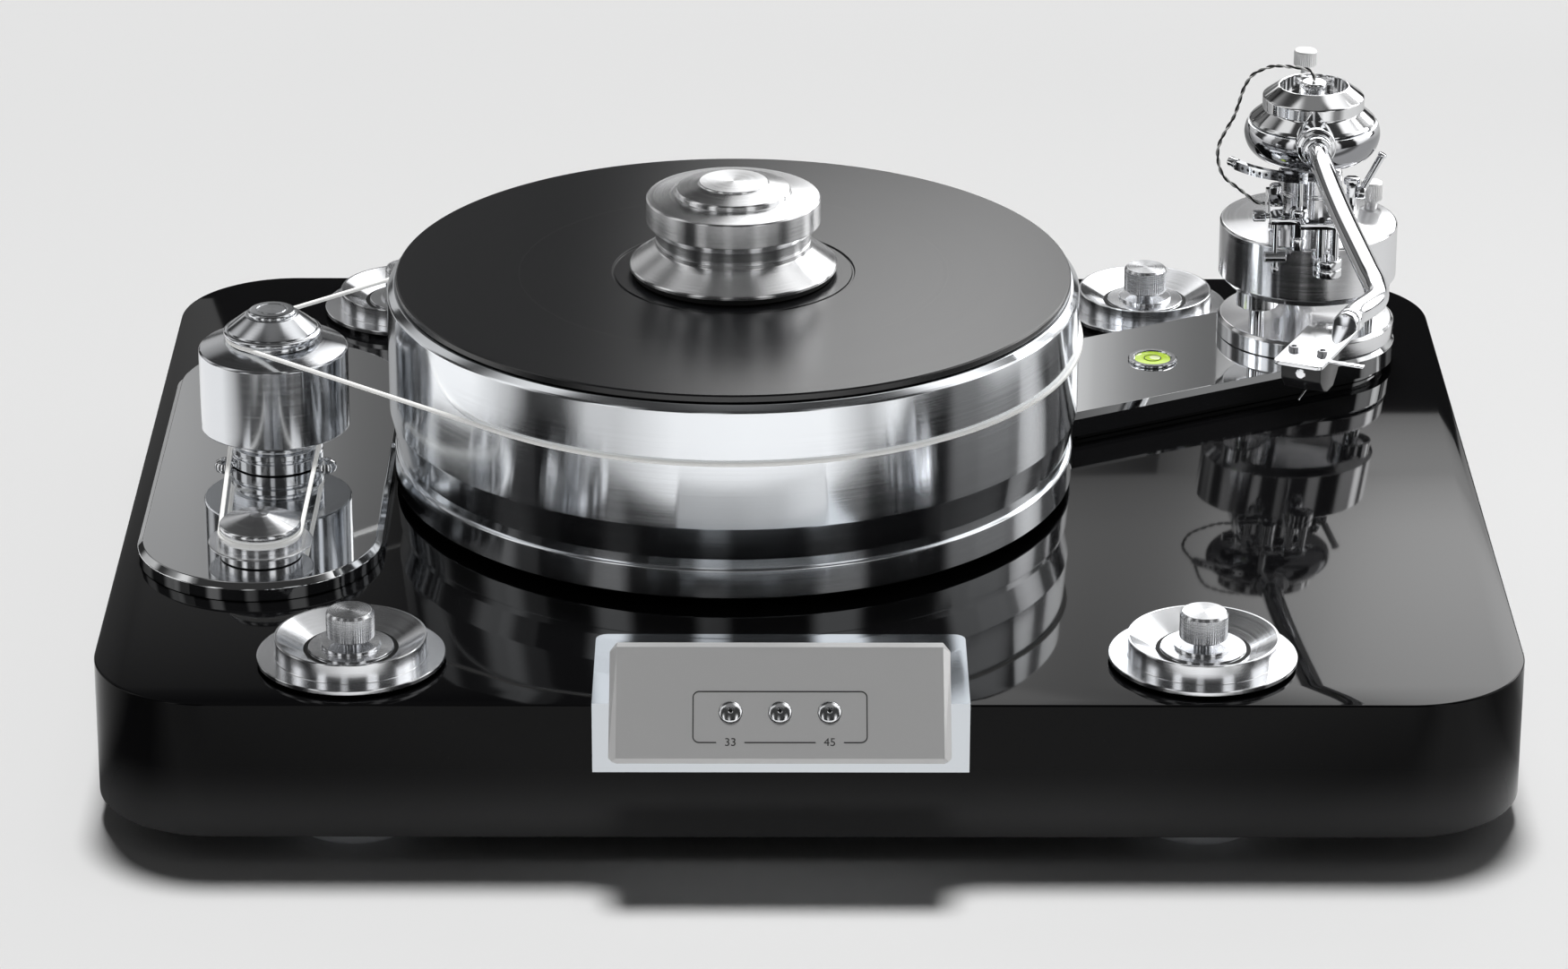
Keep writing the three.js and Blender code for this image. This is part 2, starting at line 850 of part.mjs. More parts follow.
function controlHousing() {
  const left = housingCentreX - housingWidth / 2;
  const right = housingCentreX + housingWidth / 2;
  const body = acrossPanel(
    [
      facePoint(-housingNose, 0),
      [housingSeatY, faceBottomZ - housingUnderDrop],
      [housingRearY, faceBottomZ - housingUnderDrop],
      [housingRearY, housingSeatZ],
      [faceTopY + housingTopFlat, faceTopZ],
      [faceTopY, faceTopZ],
    ],
    left,
    right,
    housingChamfer,
  );
  const overPlinth = block(
    [left - cutOverrun, housingSeatY, faceBottomZ - 2 * housingUnderDrop],
    [right + cutOverrun, housingRearY + cutOverrun, housingSeatZ],
  );
  const hollowBackY = housingSeatY + cutOverrun;
  const hollowReach = (hollowBackY - faceFrontY - housingWall * slopeZ) / slopeY;
  const hollow = acrossPanel(
    [
      facePoint(housingHollowStart, housingWall),
      [hollowBackY, faceBottomZ],
      facePoint(hollowReach, housingWall),
    ],
    left + housingEndWall,
    right - housingEndWall,
    0,
  );
  const ahead = block(
    [left, faceFrontY - housingNose, faceBottomZ - housingUnderDrop],
    [right, faceFrontY, faceBottomZ + housingNose],
  );
  return cut(body, overPlinth, hollow, ahead, ...buttonPlaces.map(([, x]) =>
    faceFrame(rod(buttonRadius + buttonHoleGap, -2 * housingWall, housingWall, smallSides), x)));
}

function panelButton() {
  return turned(
    [
      [0, -buttonStem],
      [buttonRadius, -buttonStem],
      [buttonRadius, buttonShoulder],
      [buttonRadius * buttonEdgeShare, buttonShoulder + buttonDome * buttonEdgeRiseShare],
      [buttonRadius * buttonCrownShare, buttonShoulder + buttonDome],
      [buttonDimpleRadius, buttonShoulder + buttonDome],
      [buttonDimpleRadius, buttonShoulder + buttonDome - buttonDimpleDepth],
      [0, buttonShoulder + buttonDome - buttonDimpleDepth],
    ],
    smallSides,
  );
}

addPiece(deck, "control_housing", controlHousing(), brushedAluminium());
for (const [name, x] of buttonPlaces) {
  addPiece(deck, name, faceFrame(panelButton(), x), chrome());
}

// Drive module and rear inlet.
function driveModule() {
  const low = plinthUnder + coverThickness + seatGap;
  return block(
    [moduleX - moduleWidth / 2, moduleY - moduleDepth / 2, low],
    [moduleX + moduleWidth / 2, moduleY + moduleDepth / 2, low + moduleHeight],
  );
}
addPiece(deck, "drive_module", driveModule(), circuitGreen());

function rearSocket() {
  return turned(
    [
      [0, -socketDepth],
      [socketRadius, -socketDepth],
      [socketRadius, seatGap],
      [socketFlangeRadius, seatGap],
      [socketFlangeRadius, seatGap + socketFlange],
      [socketBore, seatGap + socketFlange],
      [socketBore, -socketBoreDepth],
      [0, -socketBoreDepth],
    ],
    smallSides,
  ).rotateX(-90 * degrees);
}
addPiece(addGroup(deck, socketX, socketAxisY, socketZ), "rear_socket", rearSocket(), blackPlastic());

// Motor plate, with bores for the flywheel's pin and the motor's shaft.
function stadium(radius) {
  const shape = new THREE.Shape();
  shape.absarc(motorPlateX, motorPlateRearY, radius, 0, 180 * degrees);
  shape.absarc(motorPlateX, motorPlateFrontY, radius, 180 * degrees, fullTurn);
  shape.closePath();
  return shape;
}

function motorPlate() {
  const middle = (seatGap + motorPlateTop) / 2;
  const outline = () => stadium(motorPlateRadius);
  const bevelled = raised(outline(), seatGap, motorPlateTop, motorPlateBevel, motorPlateSteps);
  const square = raised(outline(), seatGap, middle, 0, motorPlateSteps);
  const bores = [
    [flywheelPinRadius + runningGap, flywheelX, flywheelY],
    [motorShaftHole, motorX, motorY],
  ].map(([radius, x, y]) =>
    rod(radius, -cutOverrun, motorPlateTop + cutOverrun, roundSides).translate(x, y, 0));
  return cut(join(bevelled, square), ...bores);
}
addPiece(deck, "motor_plate", motorPlate(), blackLacquer());

// Platter group, about the platter's axis.
const platterGroup = addGroup(deck, platterX, 0);
const pinBore = spindlePinRadius + seatGap;
const spindleBore = spindleRadius + wideRunningGap;

function bearingHousing() {
  return turned(
    [
      [0, -bearingDepth],
      [bearingBarrelRadius, -bearingDepth],
      [bearingBarrelRadius, seatGap],
      [bearingFlangeRadius, seatGap],
      [bearingFlangeRadius, bearingFlangeTop],
      [bearingBossRadius, bearingFlangeTop],
      [bearingBossRadius, bearingBossTop],
      [spindleBore, bearingBossTop],
      [spindleBore, -bearingDepth + bearingWall],
      [0, -bearingDepth + bearingWall],
    ],
    roundSides,
  );
}

function spindle() {
  const low = -bearingDepth + bearingWall + seatGap;
  const flangeTop = platterRecessTop - seatGap;
  return turned(
    [
      [0, low],
      [spindleRadius, low],
      [spindleRadius, spindleFlangeBottom],
      [spindleFlangeRadius, spindleFlangeBottom],
      [spindleFlangeRadius, flangeTop],
      [spindlePinRadius, flangeTop],
      [spindlePinRadius, spindlePinTop - spindlePinBevel],
      [spindlePinRadius - spindlePinBevel, spindlePinTop],
      [0, spindlePinTop],
    ],
    roundSides,
  );
}

function platter() {
  return turned(
    [
      [pinBore, platterRecessTop],
      [platterRecessRadius, platterRecessTop],
      [platterRecessRadius, platterBottom],
      [platterRingRadius, platterBottom],
      [platterRingRadius, platterRingTop],
      [platterNeckRadius, platterRingTop],
      [platterNeckRadius, platterNeckTop],
      [platterRadius, platterFlareTop],
      [platterRadius, platterSideTop],
      [platterRimRadius, platterTop],
      [pinBore, platterTop],
      [pinBore, platterRecessTop],
    ],
    broadSides,
  );
}

function platterMat() {
  const grooveOuter = labelGrooveRadius + labelGrooveWidth / 2;
  const grooveInner = labelGrooveRadius - labelGrooveWidth / 2;
  return turned(
    [
      [pinBore, platterTop + seatGap],
      [matRadius, platterTop + seatGap],
      [matRadius, matTop],
      [grooveOuter, matTop],
      [grooveOuter, matTop - labelGrooveDepth],
      [grooveInner, matTop - labelGrooveDepth],
      [grooveInner, matTop],
      [pinBore, matTop],
      [pinBore, platterTop + seatGap],
    ],
    broadSides,
  );
}

function clampBody() {
  const low = clampPadTop + seatGap;
  return turned(
    [
      [0, clampBoreTop],
      [pinBore, clampBoreTop],
      [pinBore, low],
      [clampRimRadius, low],
      [clampRimRadius, clampRimTop],
      [clampNeckRadius, clampConeTop],
      [clampNeckRadius - clampGrooveDepth, clampConeTop],
      [clampNeckRadius - clampGrooveDepth, clampGrooveTop],
      [clampNeckRadius, clampGrooveTop],
      [clampNeckRadius, clampNeckTop],
      [clampDrumRadius, clampDrumBottom],
      [clampDrumRadius, clampDrumTop],
      [clampStepRadius, clampStepBottom],
      [clampStepRadius, clampStepTop],
      [clampCapRadius, clampCapBottom],
      [clampCapRadius, clampTop],
      [0, clampTop],
    ],
    roundSides,
  );
}

addPiece(platterGroup, "bearing_housing", bearingHousing(), darkSteel());
addPiece(platterGroup, "spindle", spindle(), chrome());
addPiece(platterGroup, "platter", platter(), polishedAluminium());
addPiece(platterGroup, "platter_mat", platterMat(), blackMat());
addPiece(
  platterGroup,
  "clamp_pad",
  bush(pinBore, clampPadRadius, matTop + seatGap, clampPadTop, roundSides),
  blackRubber(),
);
addPiece(platterGroup, "clamp_body", clampBody(), polishedAluminium());

// Flywheel group, about the flywheel's axis.
const flywheelGroup = addGroup(deck, flywheelX, flywheelY);
const flywheelLow = motorPlateTop + flywheelRunUp;
const topPulleyLow = flywheelTop + seatGap;

// The V of a belt groove: its points from the lower lip to the upper one.
function grooveOutline(lipRadius, floorRadius, beltHeight) {
  const floorHalf = beltRadius;
  const lipHalf = grooveLipShare * beltRadius;
  return [
    [lipRadius, beltHeight - lipHalf],
    [floorRadius, beltHeight - floorHalf],
    [floorRadius, beltHeight + floorHalf],
    [lipRadius, beltHeight + lipHalf],
  ];
}

function flywheel() {
  const bore = flywheelPinRadius + runningGap;
  return turned(
    [
      [bore, flywheelLow],
      [flywheelNeckRadius, flywheelLow],
      ...grooveOutline(flywheelNeckRadius, flywheelNeckGroove, shortBeltHeight),
      [flywheelNeckRadius, flywheelBottom],
      [flywheelRadius, flywheelBottom],
      [flywheelRadius, flywheelSideTop],
      [topPulleyRadius, flywheelTop],
      [bore, flywheelTop],
      [bore, flywheelLow],
    ],
    roundSides,
  );
}

function flywheelPulley() {
  const groove = grooveOutline(topPulleyRadius, topPulleyGroove, longBeltHeight);
  const [, lowFloor, highFloor, highLip] = groove;
  return turned(
    [
      [0, topPulleyLow],
      [topPulleyGroove, topPulleyLow],
      lowFloor,
      highFloor,
      highLip,
      [topPulleyRadius, topPulleyRimTop],
      [topPulleyCapRadius, topPulleyCapBottom],
      [topPulleyCapRadius, topPulleyTop],
      [0, topPulleyTop],
    ],
    roundSides,
  );
}

addPiece(
  flywheelGroup,
  "flywheel_pin",
  rod(flywheelPinRadius, seatGap, flywheelTop - seatGap, roundSides),
  darkSteel(),
);
addPiece(flywheelGroup, "flywheel", flywheel(), chrome());
addPiece(flywheelGroup, "flywheel_pulley", flywheelPulley(), chrome());

// Motor and its pulley, about the motor's axis.
const motorGroup = addGroup(deck, motorX, motorY);

function motorBody() {
  const high = -plinthTopThickness - seatGap;
  const bore = motorShaftRadius + runningGap;
  const shaftFloor = -motorShaftDepth - seatGap;
  return turned(
    [
      [0, -motorDepth],
      [motorRadius, -motorDepth],
      [motorRadius, high],
      [motorBossRadius, high],
      [motorBossRadius, 0],
      [bore, 0],
      [bore, shaftFloor],
      [0, shaftFloor],
    ],
    roundSides,
  );
}

function motorPulley() {
  return turned(
    [
      [0, -motorShaftDepth],
      [motorShaftRadius, -motorShaftDepth],
      [motorShaftRadius, motorPlateTop + flywheelRunUp],
      [pulleyDrumRadius, motorPlateTop + flywheelRunUp],
      [pulleyDrumRadius, pulleyFlangeBottom],
      [pulleyFlangeRadius, pulleyFlangeBottom],
      [pulleyFlangeRadius, pulleyFlangeTop],
      [pulleyDrumRadius, pulleyFlangeTop],
      ...grooveOutline(pulleyDrumRadius, pulleyGroove, shortBeltHeight),
      [pulleyRimRadius, pulleyRimTop],
      [pulleyTopRadius, pulleyTop],
      [0, pulleyTop],
    ],
    roundSides,
  );
}

addPiece(motorGroup, "motor_body", motorBody(), darkSteel());
addPiece(motorGroup, "motor_pulley", motorPulley(), polishedAluminium());

// Belts. An open belt's outline touches both circles along two outer tangents.
function arcPoints(centre, radius, from, to, steps) {
  return Array.from({ length: steps + 1 }, (_, step) => {
    const turn = from + (to - from) * step / steps;
    return new THREE.Vector2(centre.x + radius * Math.cos(turn), centre.y + radius * Math.sin(turn));
  });
}

function beltLoop(first, second, offset, steps) {
  const run = second.axis.clone().sub(first.axis);
  const along = Math.atan2(run.y, run.x);
  const lean = Math.acos((first.radius - second.radius) / run.length());
  return [
    ...arcPoints(first.axis, first.radius + offset, along + lean, along - lean + fullTurn, steps[0]),
    ...arcPoints(second.axis, second.radius + offset, along - lean, along + lean, steps[1]),
  ];
}

function belt(first, second, height, steps) {
  const outline = new THREE.Shape(beltLoop(first, second, beltGap + 2 * beltRadius, steps));
  outline.holes.push(new THREE.Path(beltLoop(first, second, beltGap, steps)));
  return raised(outline, height - beltRadius, height + beltRadius, beltBevel);
}

const platterAxis = new THREE.Vector2(platterX, 0);
const flywheelAxis = new THREE.Vector2(flywheelX, flywheelY);
const motorAxis = new THREE.Vector2(motorX, motorY);
addPiece(
  deck,
  "long_belt",
  belt(
    { axis: platterAxis, radius: platterRadius },
    { axis: flywheelAxis, radius: topPulleyGroove },
    longBeltHeight,
    longBeltSteps,
  ),
  paleBelt(),
);
addPiece(
  deck,
  "short_belt",
  belt(
    { axis: flywheelAxis, radius: flywheelNeckGroove },
    { axis: motorAxis, radius: pulleyGroove },
    shortBeltHeight,
    shortBeltSteps,
  ),
  paleBelt(),
);

// Arm board, in a frame whose X runs from the platter's axis to the arm's.
const armDistance = Math.hypot(armX - platterX, armY);
const boardTurn = Math.atan2(armY, armX - platterX);
const boardGroup = addGroup(deck, platterX, 0);
boardGroup.rotation.z = boardTurn;

function boardShape(inset) {
  const inner = platterRadius + boardPlatterGap + inset;
  const half = boardHalfWidth - inset;
  const swing = Math.asin(half / inner);
  const shape = new THREE.Shape();
  shape.absarc(armDistance, 0, half, -90 * degrees, 90 * degrees);
  shape.absarc(0, 0, inner, swing, -swing, true);
  shape.closePath();
  return shape;
}

function armBoard() {
  const middle = (boardBottom + boardTop) / 2;
  const bevelled = raised(boardShape(0), boardBottom, boardTop, boardBevel, boardSteps);
  const square = raised(boardShape(0), boardBottom, middle, 0, boardSteps);
  const foot = raised(boardShape(boardFootInset), seatGap, middle, 0, boardSteps);
  const pocket = rod(levelPocketRadius, boardTop - levelPocketDepth, boardTop + cutOverrun, smallSides);
  return cut(join(bevelled, square, foot), pocket.translate(levelDistance, 0, 0));
}
addPiece(boardGroup, "arm_board", armBoard(), blackLacquer());

const levelGroup = addGroup(boardGroup, levelDistance, 0);
const levelTop = boardTop + seatGap + levelLip;
const levelBottom = boardTop - levelPocketDepth + seatGap;
const levelBodyRadius = levelPocketRadius - levelGap;
const levelBore = levelBodyRadius - levelWall;

function levelRing() {
  return turned(
    [
      [0, levelBottom],
      [levelBodyRadius, levelBottom],
      [levelBodyRadius, boardTop + seatGap],
      [levelRadius, boardTop + seatGap],
      [levelRadius, levelTop],
      [levelBore, levelTop],
      [levelBore, levelBottom + levelFloor],
      [0, levelBottom + levelFloor],
    ],
    smallSides,
  );
}
addPiece(levelGroup, "level_ring", levelRing(), chrome());
addPiece(
  levelGroup,
  "level_vial",
  rod(levelBore - levelGap, levelBottom + levelFloor + seatGap, levelTop - levelVialDrop, smallSides),
  levelFluid(),
);

// Arm base, guide pins and tower, about the arm's axis.
const armGroup = addGroup(deck, armX, armY);
const baseDiscBottom = boardTop + seatGap;
const guideTurns = [0, 1, 2].map((step) => guidePinFirstTurn * degrees + step * fullTurn / 3);
const guidePlaces = guideTurns.map((turn) => [
  guidePinCircle * Math.cos(turn),
  guidePinCircle * Math.sin(turn),
]);
const guideFloor = baseDiscTop - guidePinSocket;

function armBaseDisc() {
  const disc = turned(
    [
      [0, baseDiscBottom],
      [baseDiscRadius, baseDiscBottom],
      [baseDiscRadius, baseDiscTop - baseDiscBevel],
      [baseDiscRadius - baseDiscBevel, baseDiscTop],
      [0, baseDiscTop],
    ],
    roundSides,
  );
  const bore = guidePinRadius + runningGap;
  return cut(disc, ...guidePlaces.map(([x, y]) =>
    rod(bore, guideFloor, baseDiscTop + cutOverrun, fineRodSides).translate(x, y, 0)));
}
addPiece(armGroup, "arm_base_disc", armBaseDisc(), chrome());
guidePlaces.forEach(([x, y], index) => {
  addPiece(
    addGroup(armGroup, x, y),
    "guide_pin_" + ["left", "right", "rear"][index],
    rod(guidePinRadius, guideFloor + seatGap, guidePinTop, fineRodSides),
    chrome(),
  );
});

function armTower() {
  const drum = turned(
    [
      [0, towerBottom],
      [towerRadius - towerChamfer, towerBottom],
      [towerRadius, towerBottom + towerChamfer],
      [towerRadius, towerSideTop],
      [towerRadius - towerEdge, towerSideTop + towerEdge],
      [towerFlatRadius, towerTop],
      [0, towerTop],
    ],
    roundSides,
  );
  const sleeves = guidePlaces.map(([x, y]) =>
    rod(sleeveRadius, sleeveBottom, towerBottom + towerChamfer, smallSides).translate(x, y, 0));
  const bore = guidePinRadius + runningGap;
  const bores = guidePlaces.map(([x, y]) =>
    rod(bore, sleeveBottom - cutOverrun, guideBoreTop, fineRodSides).translate(x, y, 0));
  const knobBore = rod(towerKnobStem + runningGap, towerKnobDepth, towerTop, roundSides);
  return cut(join(drum, ...sleeves), ...bores, knobBore.translate(towerKnobX, towerKnobY, 0));
}
addPiece(armGroup, "arm_tower", armTower(), chrome());

function towerKnob() {
  return turned(
    [
      [0, towerKnobDepth + seatGap],
      [towerKnobStem, towerKnobDepth + seatGap],
      [towerKnobStem, towerKnobBottom],
      [towerKnobRadius, towerKnobBottom],
      [towerKnobRadius, towerKnobTop - towerKnobBevel],
      [towerKnobRadius - towerKnobBevel, towerKnobTop],
      [0, towerKnobTop],
    ],
    roundSides,
  );
}
addPiece(addGroup(armGroup, towerKnobX, towerKnobY), "tower_knob", towerKnob(), brushedAluminium());

// Arm bearing: pillar, yoke, bowl and dome.
const towerSeat = towerTop + seatGap;

function armPillar() {
  return turned(
    [
      [0, towerSeat],
      [pillarFootRadius, towerSeat],
      [pillarFootRadius, pillarFootTop],
      [pillarRadius, pillarFootTop],
      [pillarRadius, pillarTop],
      [pivotPinRadius, pillarTop],
      [pivotPinRadius, pivotPinTop],
      [0, pivotPinTop],
    ],
    roundSides,
  );
}
addPiece(armGroup, "arm_pillar", armPillar(), chrome());

const trunnionReach = bowlRadius - bowlWall + trunnionBoreDepth - seatGap;

function armYoke() {
  const sleeve = bush(pivotPinRadius + runningGap, yokeRadius, yokeBottom, yokeTop, roundSides);
  const trunnions = [1, -1].map((side) =>
    rod(trunnionRadius, (pivotPinRadius + yokeRadius) / 2, trunnionReach, smallSides)
      .rotateY(side * 90 * degrees)
      .translate(0, 0, tiltHeight));
  return join(sleeve, ...trunnions);
}
addPiece(armGroup, "arm_yoke", armYoke(), darkSteel());

// The bowl's outer curve, grown by a clearance where another piece is cut to fit it.
function bowlCurve(growth) {
  return bowlRadiusShares.map((share, index) => [
    bowlRadius * share + growth,
    bowlBottom + (bowlTop - bowlBottom) * bowlHeightShares[index],
  ]);
}

function bowlHollow() {
  const inner = bowlCurve(-bowlWall).slice(1);
  inner[0][1] += bowlWall / 2;
  return turned(
    [
      [0, bowlBottom - cutOverrun],
      [bowlMouthRadius, bowlBottom - cutOverrun],
      [bowlMouthRadius, bowlBottom + bowlWall],
      ...inner,
      [inner[inner.length - 1][0], bowlTop + cutOverrun],
      [0, bowlTop + cutOverrun],
    ],
    roundSides,
  );
}

function armBowl() {
  const shell = turned([[0, bowlBottom], ...bowlCurve(0), [0, bowlTop]], roundSides);
  const weightRod = rod(weightRodRadius, weightRodStart, weightRodEnd, smallSides)
    .rotateX(-90 * degrees)
    .translate(0, 0, weightRodHeight);
  const boreEnd = bowlRadius - bowlWall + trunnionBoreDepth;
  const trunnionBores = [1, -1].map((side) =>
    rod(trunnionRadius + trunnionGap, yokeRadius, boreEnd, smallSides)
      .rotateY(side * 90 * degrees)
      .translate(0, 0, tiltHeight));
  return join(cut(shell, bowlHollow(), ...trunnionBores), cut(weightRod, bowlHollow()));
}
addPiece(armGroup, "arm_bowl", armBowl(), chrome());

const domeBottom = bowlTop + seatGap;
const domeOutline = [
  [0, domeBottom],
  [domeFootRadius, domeBottom],
  [domeWaistRadius, domeWaistHeight],
  [domeBandRadius, domeWaistHeight],
  [domeBandRadius, domeBandTop],
  [domeRimRadius, domeTop],
];

function armDome() {
  return turned(
    [
      ...domeOutline,
      [domeRecessRadius, domeTop],
      [domeRecessRadius, domeRecessFloor],
      [domeNutRadius, domeRecessFloor],
      [domeNutRadius, domeNutTop],
      [0, domeNutTop],
    ],
    roundSides,
  );
}
addPiece(armGroup, "arm_dome", armDome(), chrome());

// Counterweight and its locking screw.
function counterweight() {
  const bore = weightRodRadius + runningGap;
  const drum = turned(
    [
      [bore, weightFront],
      [weightRadius - weightChamfer, weightFront],
      [weightRadius, weightFront + weightChamfer],
      [weightRadius, weightRear - weightChamfer],
      [weightRadius - weightChamfer, weightRear],
      [bore, weightRear],
      [bore, weightFront],
    ],
    roundSides,
  ).rotateX(-90 * degrees).translate(0, 0, weightRodHeight);
  const screwBore = rod(
    weightScrewStem + runningGap,
    weightScrewFoot - seatGap,
    weightRodHeight + weightRadius + cutOverrun,
    smallSides,
  );
  return cut(drum, screwBore.translate(weightScrewX, weightScrewY, 0));
}
addPiece(armGroup, "counterweight", counterweight(), darkSteel());

function weightScrew() {
  return turned(
    [
      [0, weightScrewFoot],
      [weightScrewStem, weightScrewFoot],
      [weightScrewStem, weightScrewBottom],
      [weightScrewRadius, weightScrewBottom],
      [weightScrewRadius, weightScrewTop - weightScrewBevel],
      [weightScrewRadius - weightScrewBevel, weightScrewTop],
      [0, weightScrewTop],
    ],
    smallSides,
  );
}
const weightScrewGroup = addGroup(armGroup, weightScrewX, weightScrewY);
addPiece(weightScrewGroup, "weight_screw", weightScrew(), brushedAluminium());

// Headshell frame: its Y runs backwards along the shell.
const shellGroup = addGroup(armGroup, shellRearX, shellRearY);
shellGroup.rotation.z = shellTurn * degrees;

function headshell() {
  const half = shellWidth / 2;
  const round = shellFrontRadius;
  const shape = new THREE.Shape();
  shape.moveTo(-half + shellRearCut, 0);
  shape.lineTo(-half, -shellRearCut);
  shape.absarc(-half + round, -shellLength + round, round, 180 * degrees, 270 * degrees);
  shape.absarc(half - round, -shellLength + round, round, 270 * degrees, fullTurn);
  shape.lineTo(half, -shellRearCut);
  shape.lineTo(half - shellRearCut, 0);
  shape.closePath();
  const plate = raised(shape, shellTop - shellThickness, shellTop, 0, fineArcSteps);
  const coupling = rod(couplingRadius, -couplingOverlap, couplingLength, smallSides)
    .rotateX(-90 * degrees)
    .translate(couplingAcross, 0, couplingHeight);
  const stripMiddle = shellTop - shellThickness / 2;
  const strip = block(
    [half - cutOverrun, -liftStripAlong - liftStripWidth / 2, stripMiddle - liftStripThickness / 2],
    [half + liftStripReach, -liftStripAlong + liftStripWidth / 2, stripMiddle + liftStripThickness / 2],
  );
  return join(plate, coupling, strip);
}
addPiece(shellGroup, "headshell", headshell(), chrome());

function cartridge() {
  const high = shellTop - shellThickness - seatGap;
  const front = cartridgeRear + cartridgeLength;
  const side = new THREE.Shape([
    [-cartridgeRear, high],
    [-front, high],
    [-front, cartridgeNoseHeight],
    [-front + cartridgeChin, cartridgeChinHeight],
    [-front + 2 * cartridgeChin, cartridgeBottom],
    [-cartridgeRear - cartridgeHeel, cartridgeBottom],
    [-cartridgeRear, cartridgeHeelHeight],
  ].map(([y, z]) => new THREE.Vector2(y, z)));
  const bar = new THREE.ExtrudeGeometry(side, { depth: cartridgeWidth, bevelEnabled: false });
  return bar.translate(0, 0, -cartridgeWidth / 2).applyMatrix4(new THREE.Matrix4().makeBasis(
    new THREE.Vector3(0, 1, 0),
    new THREE.Vector3(0, 0, 1),
    new THREE.Vector3(1, 0, 0),
  ));
}
addPiece(shellGroup, "cartridge", cartridge(), blackPlastic());

function stylus() {
  const root = new THREE.Vector3(0, -stylusRoot, stylusRootHeight);
  const tip = new THREE.Vector3(0, -stylusTip, stylusTipHeight);
  const run = tip.clone().sub(root);
  const lean = Math.atan2(run.z, -run.y);
  return rod(stylusRadius, 0, run.length(), fineRodSides)
    .rotateX(90 * degrees - lean)
    .translate(root.x, root.y, root.z);
}
addPiece(shellGroup, "stylus", stylus(), chrome());

// Arm tube: from its collars at the bowl to the headshell's coupling.
function armTube() {
  const shellAxis = new THREE.Vector3(0, 0, 1);
  const endReach = couplingLength + seatGap;
  const [end, bend] = [endReach, 2 * endReach].map((reach) =>
    new THREE.Vector3(couplingAcross, reach, 0)
      .applyAxisAngle(shellAxis, shellTurn * degrees)
      .add(new THREE.Vector3(shellRearX, shellRearY, 0)));
  const points = tubeAlongShares.map((share, index) =>
    new THREE.Vector3(
      tubeReach * tubeAcrossShares[index],
      -tubeStart - (tubeReach - tubeStart) * share,
      0,
    ));
  const route = new THREE.CatmullRomCurve3([...points, bend, end]);
  const section = new THREE.Shape();
  section.absarc(0, 0, tubeRadius, 0, fullTurn);
  const tube = new THREE.ExtrudeGeometry(section, {
    steps: tubeSteps,
    extrudePath: route,
    curveSegments: tubeSides / 2,
  });
  const collar = rod(tubeCollarRadius, tubeCollarFront, tubeCollarRear, smallSides);
  const cuff = rod(tubeCuffRadius, tubeCuffFront, tubeCollarRear, smallSides);
  const bearing = turned(
    [
      [0, bowlBottom],
      ...bowlCurve(seatGap),
      [domeFootRadius + 2 * seatGap, domeBottom],
      [domeWaistRadius + 2 * seatGap, domeWaistHeight],
      [domeBandRadius + 2 * seatGap, domeWaistHeight],
      [domeBandRadius + 2 * seatGap, domeBandTop],
      [0, domeBandTop],
    ],
    roundSides,
  );
  const place = (geometry) => geometry.rotateX(-90 * degrees).translate(tubeCollarX, 0, tubeHeight);
  return cut(join(tube.translate(0, 0, tubeHeight), place(collar), place(cuff)), bearing);
}
addPiece(armGroup, "arm_tube", armTube(), chrome());

// Cue lift on the tower: post, block, cylinder, plate and damper are one fixed assembly.
const liftRadius = Math.hypot(liftCylinderX, liftCylinderY);
const liftBore = liftRodRadius + runningGap;

